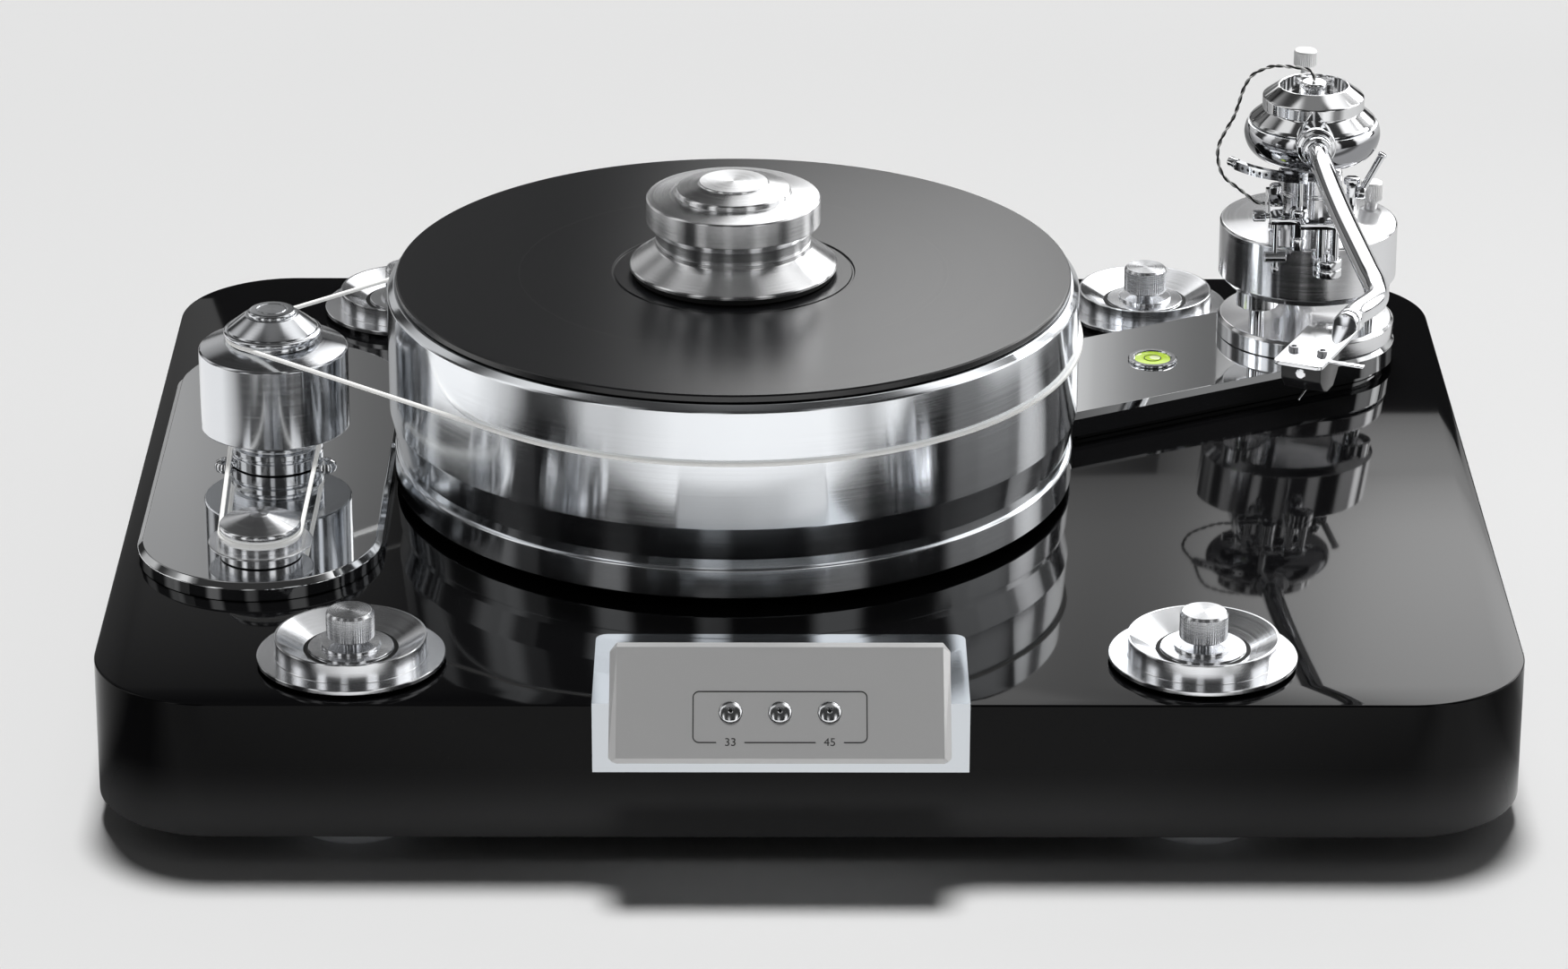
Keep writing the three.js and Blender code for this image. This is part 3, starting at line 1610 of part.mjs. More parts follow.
function liftBracket() {
  const post = rod(liftPostRadius, towerSeat, liftPostTop, smallSides).translate(liftPostX, liftPostY, 0);
  const blockLeft = liftBlockX - liftBlockWidth / 2;
  const blockRight = liftBlockX + liftBlockWidth / 2;
  const clampBlock = block(
    [blockLeft, liftBlockFront, liftBlockBottom],
    [blockRight, liftBlockRear, liftBlockTop],
  );
  const cylinder = rod(liftCylinderRadius, liftCylinderBottom, liftCylinderTop, smallSides)
    .translate(liftCylinderX, liftCylinderY, 0);
  const armFront = skateRodY - skateRodRadius - liftArmThickness / 2;
  const liftArm = block(
    [blockLeft, armFront, liftArmTop - liftArmThickness],
    [liftCylinderX, liftBlockFront + liftArmThickness, liftArmTop],
  );
  const plate = block(
    [liftCylinderX, damperY - liftPlateDepth / 2, liftArmTop - liftArmThickness],
    [liftPlateRight, damperY + liftPlateDepth / 2, liftArmTop],
  );
  const armMiddle = liftArmTop - liftArmThickness / 2;
  const damperRods = [-1, 1].map((side) =>
    rod(damperRodRadius, damperCupTop - liftArmThickness, armMiddle, fineRodSides)
      .translate(damperX + side * damperRodSpacing / 2, damperY, 0));
  const damperCup = rod(damperCupRadius, damperCupBottom, damperCupTop, smallSides)
    .translate(damperX, damperY, 0);
  const skateRod = rod(skateRodRadius, skateRodBottom, armMiddle, fineRodSides)
    .translate(skateRodX, skateRodY, 0);
  const skateBall = new THREE.SphereGeometry(skateBallRadius, fineRodSides, fineArcSteps)
    .translate(skateRodX, skateRodY, skateRodBottom);
  const knobEnd = blockLeft - lockKnobNeck;
  const neckSpan = [knobEnd - lockKnobNeck, blockLeft + lockKnobNeck];
  const lockNeck = rod(lockKnobNeckRadius, ...neckSpan, fineRodSides);
  const lockKnob = rod(lockKnobRadius, knobEnd - lockKnobLength, knobEnd, smallSides);
  const lockPieces = [lockNeck, lockKnob].map((geometry) =>
    geometry.rotateY(90 * degrees).translate(0, lockKnobY, lockKnobHeight));
  const boreSpan = [liftCylinderTop - liftRodDepth, liftCylinderTop + cutOverrun];
  const rodBore = rod(liftBore, ...boreSpan, fineRodSides).translate(liftCylinderX, liftCylinderY, 0);
  const posts = [post, cylinder, ...damperRods, damperCup];
  const plates = [clampBlock, liftArm, plate];
  return cut(join(...posts, ...plates, skateRod, skateBall, ...lockPieces), rodBore);
}
addPiece(armGroup, "lift_bracket", liftBracket(), chrome());

function liftBar() {
  const bar = raised(
    arcBand(
      liftRadius - liftBarWidth / 2,
      liftRadius + liftBarWidth / 2,
      liftBarRearTurn,
      liftBarFrontTurn,
    ),
    liftBarBottom,
    liftBarTop,
  );
  const liftRod = rod(
    liftRodRadius,
    liftCylinderTop - liftRodDepth + seatGap,
    (liftBarBottom + liftBarTop) / 2,
    fineRodSides,
  ).translate(liftCylinderX, liftCylinderY, 0);
  const stop = rod(liftBarStopRadius, -liftBarStopLength, cutOverrun, smallSides)
    .rotateX(-90 * degrees)
    .translate(liftRadius, 0, liftBarStopHeight)
    .rotateZ(liftBarRearTurn * degrees);
  return join(bar, liftRod, stop);
}
addPiece(armGroup, "lift_bar", liftBar(), chrome());

// Antiskate weight, across its rod.
function skateWeight() {
  const bar = rod(skateWeightRadius, -skateWeightLength / 2, skateWeightLength / 2, smallSides)
    .rotateY(90 * degrees);
  const bore = rod(skateRodRadius + runningGap, -skateWeightLength, skateWeightLength, fineRodSides);
  return cut(bar, bore);
}
const skateGroup = addGroup(armGroup, skateRodX, skateRodY, skateWeightHeight);
addPiece(skateGroup, "skate_weight", skateWeight(), brushedAluminium());

// Lever pillar with its pin, and the cue lever that turns on the pin.
const leverPinStart = leverPillarX + leverPillarFlats / 2;
const leverHubLeft = leverPinStart + seatGap;

function leverPillar() {
  const halfFlatsRadius = (flats) => flats / 2 / Math.cos(30 * degrees);
  const shaft = rod(halfFlatsRadius(leverPillarFlats), towerSeat, leverPillarTop, 6);
  const cap = rod(halfFlatsRadius(leverCapFlats), leverCapBottom, leverPillarTop, 6);
  const pin = rod(leverPinRadius, 0, leverPillarFlats / 2 + leverPinLength, fineRodSides)
    .rotateY(90 * degrees)
    .translate(0, 0, leverAxisHeight);
  return join(shaft, cap, pin).translate(leverPillarX, leverPillarY, 0);
}
addPiece(armGroup, "lever_pillar", leverPillar(), chrome());

function cueLever() {
  const hubLength = leverPinLength;
  const hub = bush(leverPinRadius + runningGap, leverHubRadius, 0, hubLength, smallSides)
    .rotateY(90 * degrees);
  const handle = rod(leverRodRadius, 0, leverRodLength, fineRodSides)
    .rotateY(leverLean * degrees)
    .translate(hubLength / 2, 0, 0);
  const pinSpace = rod(leverPinRadius + runningGap, -hubLength, 2 * hubLength, smallSides)
    .rotateY(90 * degrees);
  return cut(join(hub, handle), pinSpace);
}
const leverGroup = addGroup(armGroup, leverHubLeft, leverPillarY, leverAxisHeight);
addPiece(leverGroup, "cue_lever", cueLever(), chrome());

// Signal wire.
function armWire() {
  const route = new THREE.CatmullRomCurve3(wireRoute.map((point) => new THREE.Vector3(...point)));
  const section = new THREE.Shape();
  section.absarc(0, 0, wireRadius, 0, fullTurn);
  return new THREE.ExtrudeGeometry(section, {
    steps: wireSteps,
    extrudePath: route,
    curveSegments: wireSides / 2,
  });
}
addPiece(armGroup, "arm_wire", armWire(), wireGrey());

// The origin is on the floor, below the middle of the turntable's box.
const panelFront = faceFrontY;
const socketRear = socketAxisY + seatGap + socketFlange;
deck.position.y = -(panelFront + socketRear) / 2;

export default turntable;
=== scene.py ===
import math
import bpy
import bmesh
from mathutils import Matrix, Vector


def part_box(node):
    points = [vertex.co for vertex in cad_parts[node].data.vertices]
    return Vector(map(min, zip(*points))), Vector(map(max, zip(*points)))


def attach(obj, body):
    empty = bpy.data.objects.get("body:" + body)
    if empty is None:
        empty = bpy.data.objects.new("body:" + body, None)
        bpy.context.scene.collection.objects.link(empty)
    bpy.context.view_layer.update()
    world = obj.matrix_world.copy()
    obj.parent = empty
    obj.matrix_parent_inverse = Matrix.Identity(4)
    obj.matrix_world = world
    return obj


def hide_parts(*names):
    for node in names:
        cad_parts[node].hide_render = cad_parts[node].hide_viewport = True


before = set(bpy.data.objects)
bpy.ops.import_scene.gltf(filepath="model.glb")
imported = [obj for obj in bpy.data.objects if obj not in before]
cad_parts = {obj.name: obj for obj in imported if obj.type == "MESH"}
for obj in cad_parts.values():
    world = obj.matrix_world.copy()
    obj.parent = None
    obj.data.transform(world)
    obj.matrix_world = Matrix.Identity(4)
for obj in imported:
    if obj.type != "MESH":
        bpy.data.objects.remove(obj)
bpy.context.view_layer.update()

# The camera looks at the turntable from the front and well above it, through a long lens from
# two and a half metres away. Places on the turntable count from the middle of the plinth's top.
mm = 0.001
plinth_low, plinth_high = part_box("plinth_body")
plinth_middle = (plinth_low + plinth_high) / 2
deck = Vector((plinth_middle.x, plinth_middle.y, plinth_high.z))
image_width = 1750
focal_pixels = 6484
view_elevation = math.radians(22.65)
view_azimuth = math.radians(0.19)
view_roll = math.radians(-0.14)
view_distance = 2615.9 * mm
view_target = deck + Vector((-10.3, -13.6, 0)) * mm

looking = Vector((
    math.sin(view_azimuth) * math.cos(view_elevation),
    math.cos(view_azimuth) * math.cos(view_elevation),
    -math.sin(view_elevation),
))
level_right = Vector((math.cos(view_azimuth), -math.sin(view_azimuth), 0))
level_down = looking.cross(level_right)
right = level_right * math.cos(view_roll) + level_down * math.sin(view_roll)
down = level_down * math.cos(view_roll) - level_right * math.sin(view_roll)
camera = bpy.data.objects.new("camera", bpy.data.cameras.new("camera"))
bpy.context.collection.objects.link(camera)
camera.data.sensor_fit = "HORIZONTAL"
camera.data.sensor_width = 36
camera.data.lens = focal_pixels / image_width * camera.data.sensor_width
camera.data.clip_end = 50
turn = Matrix((right, -down, -looking)).transposed().to_4x4()
camera.matrix_world = Matrix.Translation(view_target - looking * view_distance) @ turn
bpy.context.scene.camera = camera
bpy.context.scene.view_settings.view_transform = "Standard"

# The signal wire: two fine twisted leads, one black and one white, that leave the nut on top of
# the arm's bearing in a bow and go back into the lift post. It is the only free lead in view.
wire_diameter = 1.8 * mm
wire_pitch = 9 * mm
wire_route = [
    (0, 0, 138.95), (-0.4, 0.4, 141.6), (-3.4, 2.4, 143.6), (-11, 4.4, 144.1),
    (-17.1, 6.4, 143.9), (-23.2, 7.4, 142), (-28.1, 7.4, 139), (-30.9, 7.4, 135),
    (-33, 6.4, 130), (-35.2, 4.4, 123.1), (-37.6, 3.4, 117.7), (-40.8, 1.4, 112.7),
    (-43.2, -0.6, 108), (-44.1, -2.6, 103.4), (-42.8, -5.6, 96.5), (-39.5, -7.6, 92.3),
    (-33.2, -9.8, 88), (-28.5, -13, 85), (-25.2, -15.4, 83.8), (-22.4, -15.6, 83.6),
]


def axis_of(part):
    """The upright axis through a CAD node's middle, at the deck."""
    low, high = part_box(part)
    return Vector(((low.x + high.x) / 2, (low.y + high.y) / 2, deck.z))


def smooth_route(points, steps):
    """Points along a curve through the given points, with a few steps between each two."""
    route = []
    padded = [points[0] * 2 - points[1], *points, points[-1] * 2 - points[-2]]
    for before, start, end, after in zip(padded, padded[1:], padded[2:], padded[3:]):
        for step in range(steps):
            t = step / steps
            route.append(0.5 * (
                2 * start + (end - before) * t
                + (2 * before - 5 * start + 4 * end - after) * t * t
                + (3 * start - before - 3 * end + after) * t * t * t
            ))
    return route + [points[-1]]


def as_bmesh(curve):
    """The solid form of a curve or a text, as a bmesh."""
    holder = bpy.data.objects.new(curve.name, curve)
    bpy.context.collection.objects.link(holder)
    bpy.context.view_layer.update()
    shaped = holder.evaluated_get(bpy.context.evaluated_depsgraph_get())
    mesh = bpy.data.meshes.new_from_object(shaped)
    bm = bmesh.new()
    bm.from_mesh(mesh)
    bmesh.ops.remove_doubles(bm, verts=bm.verts, dist=1e-6)
    bpy.data.objects.remove(holder)
    bpy.data.curves.remove(curve)
    bpy.data.meshes.remove(mesh)
    return bm


def rod_along(points, radius, sides=5, closed=False):
    """A round rod along the points, as a bmesh."""
    curve = bpy.data.curves.new("rod", "CURVE")
    curve.dimensions = "3D"
    curve.bevel_depth = radius
    curve.bevel_resolution = sides
    curve.use_fill_caps = not closed
    spline = curve.splines.new("POLY")
    spline.points.add(len(points) - 1)
    for place, point in zip(spline.points, points):
        place.co = (*point, 1)
    spline.use_cyclic_u = closed
    bm = as_bmesh(curve)
    bmesh.ops.recalc_face_normals(bm, faces=bm.faces)
    return bm


def joined(*parts):
    """One bmesh from several."""
    whole = bmesh.new()
    for part in parts:
        mesh = bpy.data.meshes.new("part")
        part.to_mesh(mesh)
        part.free()
        whole.from_mesh(mesh)
        bpy.data.meshes.remove(mesh)
    return whole


def mesh_object(name, bm):
    """An object whose mesh is the bmesh."""
    mesh = bpy.data.meshes.new(name)
    bm.to_mesh(mesh)
    bm.free()
    made = bpy.data.objects.new(name, mesh)
    bpy.context.collection.objects.link(made)
    return made


def piece(name, bm, finish, slot, body, *nodes, crease=8.5):
    """A finished piece: shaded, given its finish, set on its body and put in its nodes' place."""
    made = mesh_object(name, bm)
    made.data.shade_smooth()
    made.data.set_sharp_from_angle(angle=math.radians(crease))
    for material in finish if isinstance(finish, list) else [finish]:
        made.data.materials.append(material)
    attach(made, body)
    if nodes:
        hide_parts(*nodes)
    return made


def plain_finish(name, colour, roughness, metallic=0.0, **sockets):
    """A Principled material, with the values that are the same all over the surface."""
    material = bpy.data.materials.new(name)
    material.use_nodes = True
    shader = material.node_tree.nodes["Principled BSDF"]
    shader.inputs["Base Color"].default_value = (*colour, 1)
    shader.inputs["Roughness"].default_value = roughness
    shader.inputs["Metallic"].default_value = metallic
    for socket, value in sockets.items():
        shader.inputs[socket.replace("_", " ")].default_value = value
    return material


def node(tree, kind, sockets=None, **settings):
    """A shader node with its settings. Each socket that is named gets a value or a link."""
    made = tree.nodes.new("ShaderNode" + kind)
    for setting, value in settings.items():
        setattr(made, setting, value)
    for socket, value in (sockets or {}).items():
        if isinstance(value, bpy.types.NodeSocket):
            tree.links.new(value, made.inputs[socket])
        else:
            made.inputs[socket].default_value = value
    return made


def noise_group(name, width_name, width, shaped, detail, dimensions="3D"):
    """A shader node group that makes a mask of noise of a given width from a place."""
    group = bpy.data.node_groups.new(name, "ShaderNodeTree")
    for socket, way, kind in (
        ("Vector", "INPUT", "NodeSocketVector"), (width_name, "INPUT", "NodeSocketFloat"),
        ("Value", "OUTPUT", "NodeSocketFloat"),
    ):
        made = group.interface.new_socket(socket, in_out=way, socket_type=kind)
        if socket == width_name:
            made.default_value = width
    given = group.nodes.new("NodeGroupInput").outputs
    scale = node(group, "Math", {0: 1, 1: given[width_name]}, operation="DIVIDE")
    noise = node(
        group, "TexNoise",
        {"Vector": shaped(group, given["Vector"]), "Scale": scale.outputs[0], "Detail": detail},
        noise_dimensions=dimensions)
    group.links.new(noise.outputs["Fac"], group.nodes.new("NodeGroupOutput").inputs["Value"])
    return group


def mask(material, group, width, axis=None):
    """A noise group's mask on the object's own coordinates, which may count from an axis."""
    tree = material.node_tree
    place = node(tree, "TexCoord").outputs["Object"]
    if axis is not None:
        centre = node(tree, "Mapping", {"Vector": place, "Location": (-axis.x, -axis.y, 0)})
        place = centre.outputs[0]
    return node(tree, "Group", {0: place, 1: width}, node_tree=group).outputs["Value"]


def spread(material, source, low, high):
    """Feeds a 0-to-1 mask to the roughness, between two values."""
    tree = material.node_tree
    span = node(tree, "MapRange", {"Value": source, "To Min": low, "To Max": high})
    tree.links.new(span.outputs["Result"], tree.nodes["Principled BSDF"].inputs["Roughness"])


def emboss(material, source, distance):
    """Raises a surface by a mask, for the light only."""
    tree = material.node_tree
    bump = node(tree, "Bump", {"Height": source, "Distance": distance, "Strength": 1})
    tree.links.new(bump.outputs["Normal"], tree.nodes["Principled BSDF"].inputs["Normal"])


# Fine grain: a soft mottling at a given size, for rubber, braid, plastic and painted faces.
grain_group = noise_group("Fine grain", "Grain Size", 1 * mm, lambda group, place: place, 3)


def grained(name, colour, roughness, grain, depth, **sockets):
    """A finish with a fine grain in its gloss and its surface."""
    material = plain_finish(name, colour, roughness, **sockets)
    grains = mask(material, grain_group, grain)
    spread(material, grains, roughness * 0.8, min(1, roughness * 1.2))
    emboss(material, grains, depth)
    return material


arm_axis = axis_of("arm_pillar")


def at_arm(x, y, z=0):
    """A place that counts from the arm's axis at the deck, in millimetres."""
    return arm_axis + Vector((x, y, z)) * mm


wire_line = [at_arm(*point) for point in wire_route]
wire_path = smooth_route(wire_line, 12)
wire_finishes = [
    grained("black lead", (0.015, 0.015, 0.015), 0.45, 0.6 * mm, 0.05 * mm),
    grained("white lead", (0.85, 0.85, 0.83), 0.45, 0.6 * mm, 0.05 * mm),
]
leads = []
for side, start_turn in enumerate((0, math.pi)):
    strand = []
    travelled = 0
    across = Vector((0, 1, 0))
    for index, point in enumerate(wire_path):
        ahead = wire_path[min(index + 1, len(wire_path) - 1)]
        behind = wire_path[max(index - 1, 0)]
        travelled += (point - behind).length
        heading = (ahead - behind).normalized()
        across = (across - heading * across.dot(heading)).normalized()
        angle = start_turn + 2 * math.pi * travelled / wire_pitch
        offset = across * math.cos(angle) + heading.cross(across) * math.sin(angle)
        strand.append(point + offset * wire_diameter / 4)
    lead = rod_along(strand, wire_diameter / 4, sides=2)
    for face in lead.faces:
        face.material_index = side
    leads.append(lead)
signal_wire = piece(
    "signal_wire", joined(*leads), wire_finishes, "wire_jacket", "tower", "arm_wire", crease=60)

# The set: a pale table and a plain studio, lit from all round, by a broad sun overhead and by
# soft boxes. The polished pieces see it with black flags and bright light cards between them.
table_colour = (0.79, 0.79, 0.79)
table_reach = 9
table_mesh = bmesh.new()
bmesh.ops.create_grid(table_mesh, x_segments=1, y_segments=1, size=table_reach)
table = mesh_object("table", table_mesh)
table_finish = grained("pale table", table_colour, 0.9, 400 * mm, 0)
table.data.materials.append(table_finish)

room = bpy.data.worlds.new("studio")
bpy.context.scene.world = room
room.use_nodes = True


def bearing_of(tree, way):
    """A direction's axes, and its bearing from 0 to 1 round the room; 0.5 is in front."""
    axes = node(tree, "SeparateXYZ", {0: way}).outputs
    front = node(tree, "Math", {0: axes["Y"], 1: -1}, operation="MULTIPLY")
    heading = node(tree, "Math", {0: axes["X"], 1: front.outputs[0]}, operation="ARCTAN2")
    bearing = node(
        tree, "MapRange",
        {"Value": heading.outputs[0], "From Min": -math.pi, "From Max": math.pi})
    return axes, bearing.outputs["Result"]


def round_ramp(tree, bearing, stops):
    """A ramp of brightness round the room, from (degrees, brightness) pairs."""
    ramp = node(tree, "ValToRGB", {"Fac": bearing})
    ramp.color_ramp.interpolation = "LINEAR"
    ends = ramp.color_ramp.elements
    for end, position, light in ((0, 0, stops[0][1]), (1, 1, stops[-1][1])):
        ends[end].position = position
        ends[end].color = (light, light, light, 1)
    for degrees, light in stops[1:-1]:
        ends.new(degrees / 360 + 0.5).color = (light, light, light, 1)
    return ramp.outputs["Color"]


def rise(tree, value, low, high, top=1):
    """A soft rise from nothing to a top, while a value goes from low to high."""
    return node(
        tree, "MapRange", {"Value": value, "From Min": low, "From Max": high, "To Max": top},
        interpolation_type="SMOOTHSTEP").outputs["Result"]


def blend(tree, share, first, second):
    """A mix of two colours by a share."""
    return node(tree, "Mix", {0: share, 6: first, 7: second}, data_type="RGBA").outputs[2]


def paint(material, colour):
    """Feeds a colour to a material."""
    tree = material.node_tree
    tree.links.new(colour, tree.nodes["Principled BSDF"].inputs["Base Color"])


# Brightness of the table's reflection, the walls and the ceiling by bearing in degrees: 0 is in
# front, -90 to the left, 180 behind. Black flags stand between the lights.
table_stops = [
    (-180, 0.2), (-140, 0.4), (-120, 1), (-84, 1), (-70, 0.5), (-63, 0.03), (-53, 0.08),
    (-45, 0.6), (-36, 0.6), (-20, 0.95), (0, 1), (24, 1), (37, 0.5), (45, 1), (56, 0.9),
    (66, 0.2), (76, 0.2), (86, 0.7), (130, 0.62), (160, 0.5), (180, 0.2),
]
wall_stops = [
    (-180, 0.02), (-140, 0.03), (-134, 0.5), (-120, 0.6), (-114, 0.04), (-98, 0.05), (-92, 0.9),
    (-80, 0.8), (-76, 0.03), (-50, 0.03), (-46, 1.1), (-38, 1.1), (-34, 0.04), (-14, 0.03),
    (-10, 0.6), (-4, 0.5), (0, 0.03), (26, 0.03), (30, 1.1), (42, 1.1), (46, 0.03), (74, 0.03),
    (78, 1.2), (108, 1.3), (114, 0.05), (124, 0.05), (130, 0.7), (144, 0.5), (150, 0.03),
    (180, 0.02),
]
ceiling_stops = [
    (-180, 0.04), (-140, 0.04), (-112, 0.05), (-106, 0.8), (-88, 0.8), (-82, 0.04),
    (88, 0.04), (94, 1.15), (130, 1.2), (150, 0.5), (162, 0.05), (180, 0.04),
]
zenith_grey = (0.2, 0.2, 0.2)
fill_light = 0.05
seen_colour = (*table_colour, 1)
room_tree = room.node_tree
room_axes, room_bearing = bearing_of(room_tree, node(room_tree, "TexCoord").outputs["Generated"])
room_up = room_axes["Z"]
walls = round_ramp(room_tree, room_bearing, wall_stops)
overhead = round_ramp(room_tree, room_bearing, ceiling_stops)
studio = blend(room_tree, rise(room_tree, room_up, 0.5, 0.85), walls, overhead)
roof = blend(room_tree, rise(room_tree, room_up, 0.945, 0.99), studio, (*zenith_grey, 1))
rays = node(room_tree, "LightPath").outputs
fill = rise(room_tree, room_up, 0.25, 0.95, fill_light)
even = blend(room_tree, rays["Is Diffuse Ray"], roof, fill)
straight = node(
    room_tree, "Math", {0: rays["Is Camera Ray"], 1: rays["Is Transmission Ray"]},
    operation="MAXIMUM")
seen = blend(room_tree, straight.outputs[0], even, seen_colour)
room_tree.links.new(seen, room_tree.nodes["Background"].inputs["Color"])

# For reflections only, the table's colour is painted in bright and dark bands round the room: a painted
# reflection of lights and flags.
table_tree = table_finish.node_tree
table_bearing = bearing_of(table_tree, node(table_tree, "TexCoord").outputs["Object"])[1]
table_painted_reflection = round_ramp(table_tree, table_bearing, table_stops)
glossy = node(table_tree, "LightPath").outputs["Is Glossy Ray"]
paint(table_finish, blend(table_tree, glossy, seen_colour, table_painted_reflection))


def soft_box(name, place, aim, width, height, watts):
    """A rectangular soft light that faces a point."""
    lamp = bpy.data.lights.new(name, "AREA")
    lamp.shape = "RECTANGLE"
    lamp.size = width
    lamp.size_y = height
    lamp.energy = watts
    box = bpy.data.objects.new(name, lamp)
    bpy.context.collection.objects.link(box)
    aimed = (Vector(place) - Vector(aim)).to_track_quat("Z", "Y").to_matrix().to_4x4()
    box.matrix_world = Matrix.Translation(place) @ aimed
    return box


top_light = soft_box("top_light", (0.1, 0.75, 2.3), (0, 0, 0), 1.0, 0.55, 3)
top_light.visible_glossy = False
soft_box("left_light", (-1.7, -0.5, 0.8), (-0.1, 0, 0.1), 0.5, 1.3, 0.4)
soft_box("right_light", (1.8, 0.1, 0.9), (0.1, 0, 0.1), 0.5, 1.3, 0.4)
sun = bpy.data.lights.new("overhead_sun", "SUN")
sun.energy = 3.05
sun.angle = math.radians(15)
sun_lamp = bpy.data.objects.new("overhead_sun", sun)
bpy.context.collection.objects.link(sun_lamp)
sun_lamp.rotation_euler = (math.radians(-18), 0, 0)
sun_lamp.visible_glossy = False


def light_card(name, low, high, power, across_stops, up_stops):
    """An upright card behind or beside the turntable that only reflections see. Its light
    follows two ramps, from left to right and from its foot to its top."""
    bm = bmesh.new()
    corners = (low, (high[0], low[1], low[2]), high, (low[0], high[1], high[2]))
    bm.faces.new([bm.verts.new(Vector(corner) * mm) for corner in corners])
    card = mesh_object(name, bm)
    card.matrix_world = Matrix.Translation(deck)
    card.visible_camera = False
    card.visible_diffuse = False
    card.visible_shadow = False
    glow = bpy.data.materials.new(name)
    glow.use_nodes = True
    tree = glow.node_tree
    sides = node(tree, "SeparateXYZ", {0: node(tree, "TexCoord").outputs["Generated"]})
    light = power
    for side, stops in (("X", across_stops), ("Z", up_stops)):
        curve = node(tree, "FloatCurve", {"Value": sides.outputs[side]})
        points = curve.mapping.curves[0].points
        points[0].location = stops[0]
        points[1].location = stops[-1]
        for stop in stops[1:-1]:
            points.new(*stop)
        curve.mapping.update()
        dimmed = node(tree, "Math", {0: curve.outputs["Value"], 1: light}, operation="MULTIPLY")
        light = dimmed.outputs[0]
    shine = node(tree, "Emission", {"Strength": light})
    tree.links.new(shine.outputs[0], tree.nodes["Material Output"].inputs["Surface"])
    card.data.materials.append(glow)


light_card(
    "rear_low_card", (-750, 800, 150), (330, 800, 750), 1,
    [(0, 0.5), (0.33, 0.47), (0.37, 0.4), (0.42, 0.27), (0.475, 0.15), (0.55, 0.13),
     (0.72, 0.15), (0.8, 0.6), (0.83, 0.8), (0.86, 0.55), (0.9, 0.24), (0.94, 0.16), (1, 0.15)],
    [(0, 0.9), (0.25, 0.95), (0.4, 0.8), (0.6, 0.6), (0.75, 0.4), (0.9, 0.1), (1, 0)])
light_card(
    "rear_right_card", (-150, 795, 325), (900, 795, 1100), 5,
    [(0, 0), (0.05, 0.02), (0.1, 0.26), (0.18, 0.44), (0.26, 0.44), (0.32, 0.3), (0.36, 0.28),
     (0.43, 0.48), (0.49, 0.7), (0.6, 1), (1, 1)],
    [(0, 0.5), (0.05, 0.75), (0.12, 0.92), (0.25, 1), (1, 0.9)])
light_card(
    "rear_corner_card", (250, 797, 262), (900, 797, 335), 5,
    [(0, 0.1), (0.1, 0.3), (0.17, 0.45), (0.3, 0.5), (1, 0.6)], [(0, 0.5), (0.5, 0.85), (1, 1)])
light_card(
    "far_right_card", (850, 500, 230), (1800, 500, 850), 6,
    [(0, 0.5), (0.3, 1), (0.7, 0.8), (1, 0.6)], [(0, 0.7), (0.3, 1), (0.8, 0.9), (1, 0.5)])

# The plinth: a heavy board body with round corners, sprayed in black lacquer and polished to a
# deep gloss. It is hollow below, and its edges are barely eased.
plinth_corner = 53 * mm
plinth_ease = 0.8 * mm
plinth_wall = 20 * mm
plinth_ceiling = 41.8 * mm
lacquer_black = (0.003, 0.003, 0.0033)
# Painted reflection: the lighter grey the lacquer turns toward the foot.
lacquer_foot_reflection = (0.06, 0.06, 0.061)
lacquer_dust = (0.05, 0.05, 0.05)
lacquer_gloss = 0.04
reflection_from = 28 * mm
reflection_to = 64 * mm
dust_scale = 260


def block(low, high):
    """A box between two corners."""
    bm = bmesh.new()
    bmesh.ops.create_cube(bm, size=1)
    bmesh.ops.scale(bm, vec=high - low, verts=bm.verts)
    bmesh.ops.translate(bm, vec=(high + low) / 2, verts=bm.verts)
    return bm


def bevel(bm, edges, width, segments=2):
    """Rounds edges, or chamfers them with one segment."""
    bmesh.ops.bevel(
        bm, geom=edges, offset=width, segments=segments, profile=0.5, affect="EDGES", material=-1)


def pull(bm, face, way):
    """Extrudes a face and moves the new one."""
    made = bmesh.ops.extrude_face_region(bm, geom=[face])["geom"]
    bmesh.ops.translate(bm, vec=way, verts=[v for v in made if isinstance(v, bmesh.types.BMVert)])


# The lacquer has a faint polishing haze and a little settled dust, and a painted reflection
# makes it lighter toward the plinth's foot.
plinth_lacquer = plain_finish(
    "black lacquer", lacquer_black, lacquer_gloss, Specular_IOR_Level=0.12)
haze = mask(plinth_lacquer, grain_group, 60 * mm)
spread(plinth_lacquer, haze, lacquer_gloss * 0.6, lacquer_gloss * 1.5)
lacquer_tree = plinth_lacquer.node_tree
lacquer_place = node(lacquer_tree, "TexCoord").outputs["Object"]
dust = node(lacquer_tree, "TexVoronoi", {"Vector": lacquer_place, "Scale": dust_scale})
speck = node(
    lacquer_tree, "MapRange",
    {"Value": dust.outputs["Distance"], "From Min": 0.035, "From Max": 0.02})
lacquer_height = node(lacquer_tree, "SeparateXYZ", {0: lacquer_place}).outputs["Z"]
# Painted reflection: the lacquer's colour turns lighter toward the plinth's foot.
painted_reflection = rise(lacquer_tree, lacquer_height, deck.z - reflection_from, deck.z - reflection_to)
lacquer_with_reflection = blend(lacquer_tree, painted_reflection, (*lacquer_black, 1), (*lacquer_foot_reflection, 1))
paint(plinth_lacquer, blend(
    lacquer_tree, speck.outputs["Result"], lacquer_with_reflection, (*lacquer_dust, 1)))

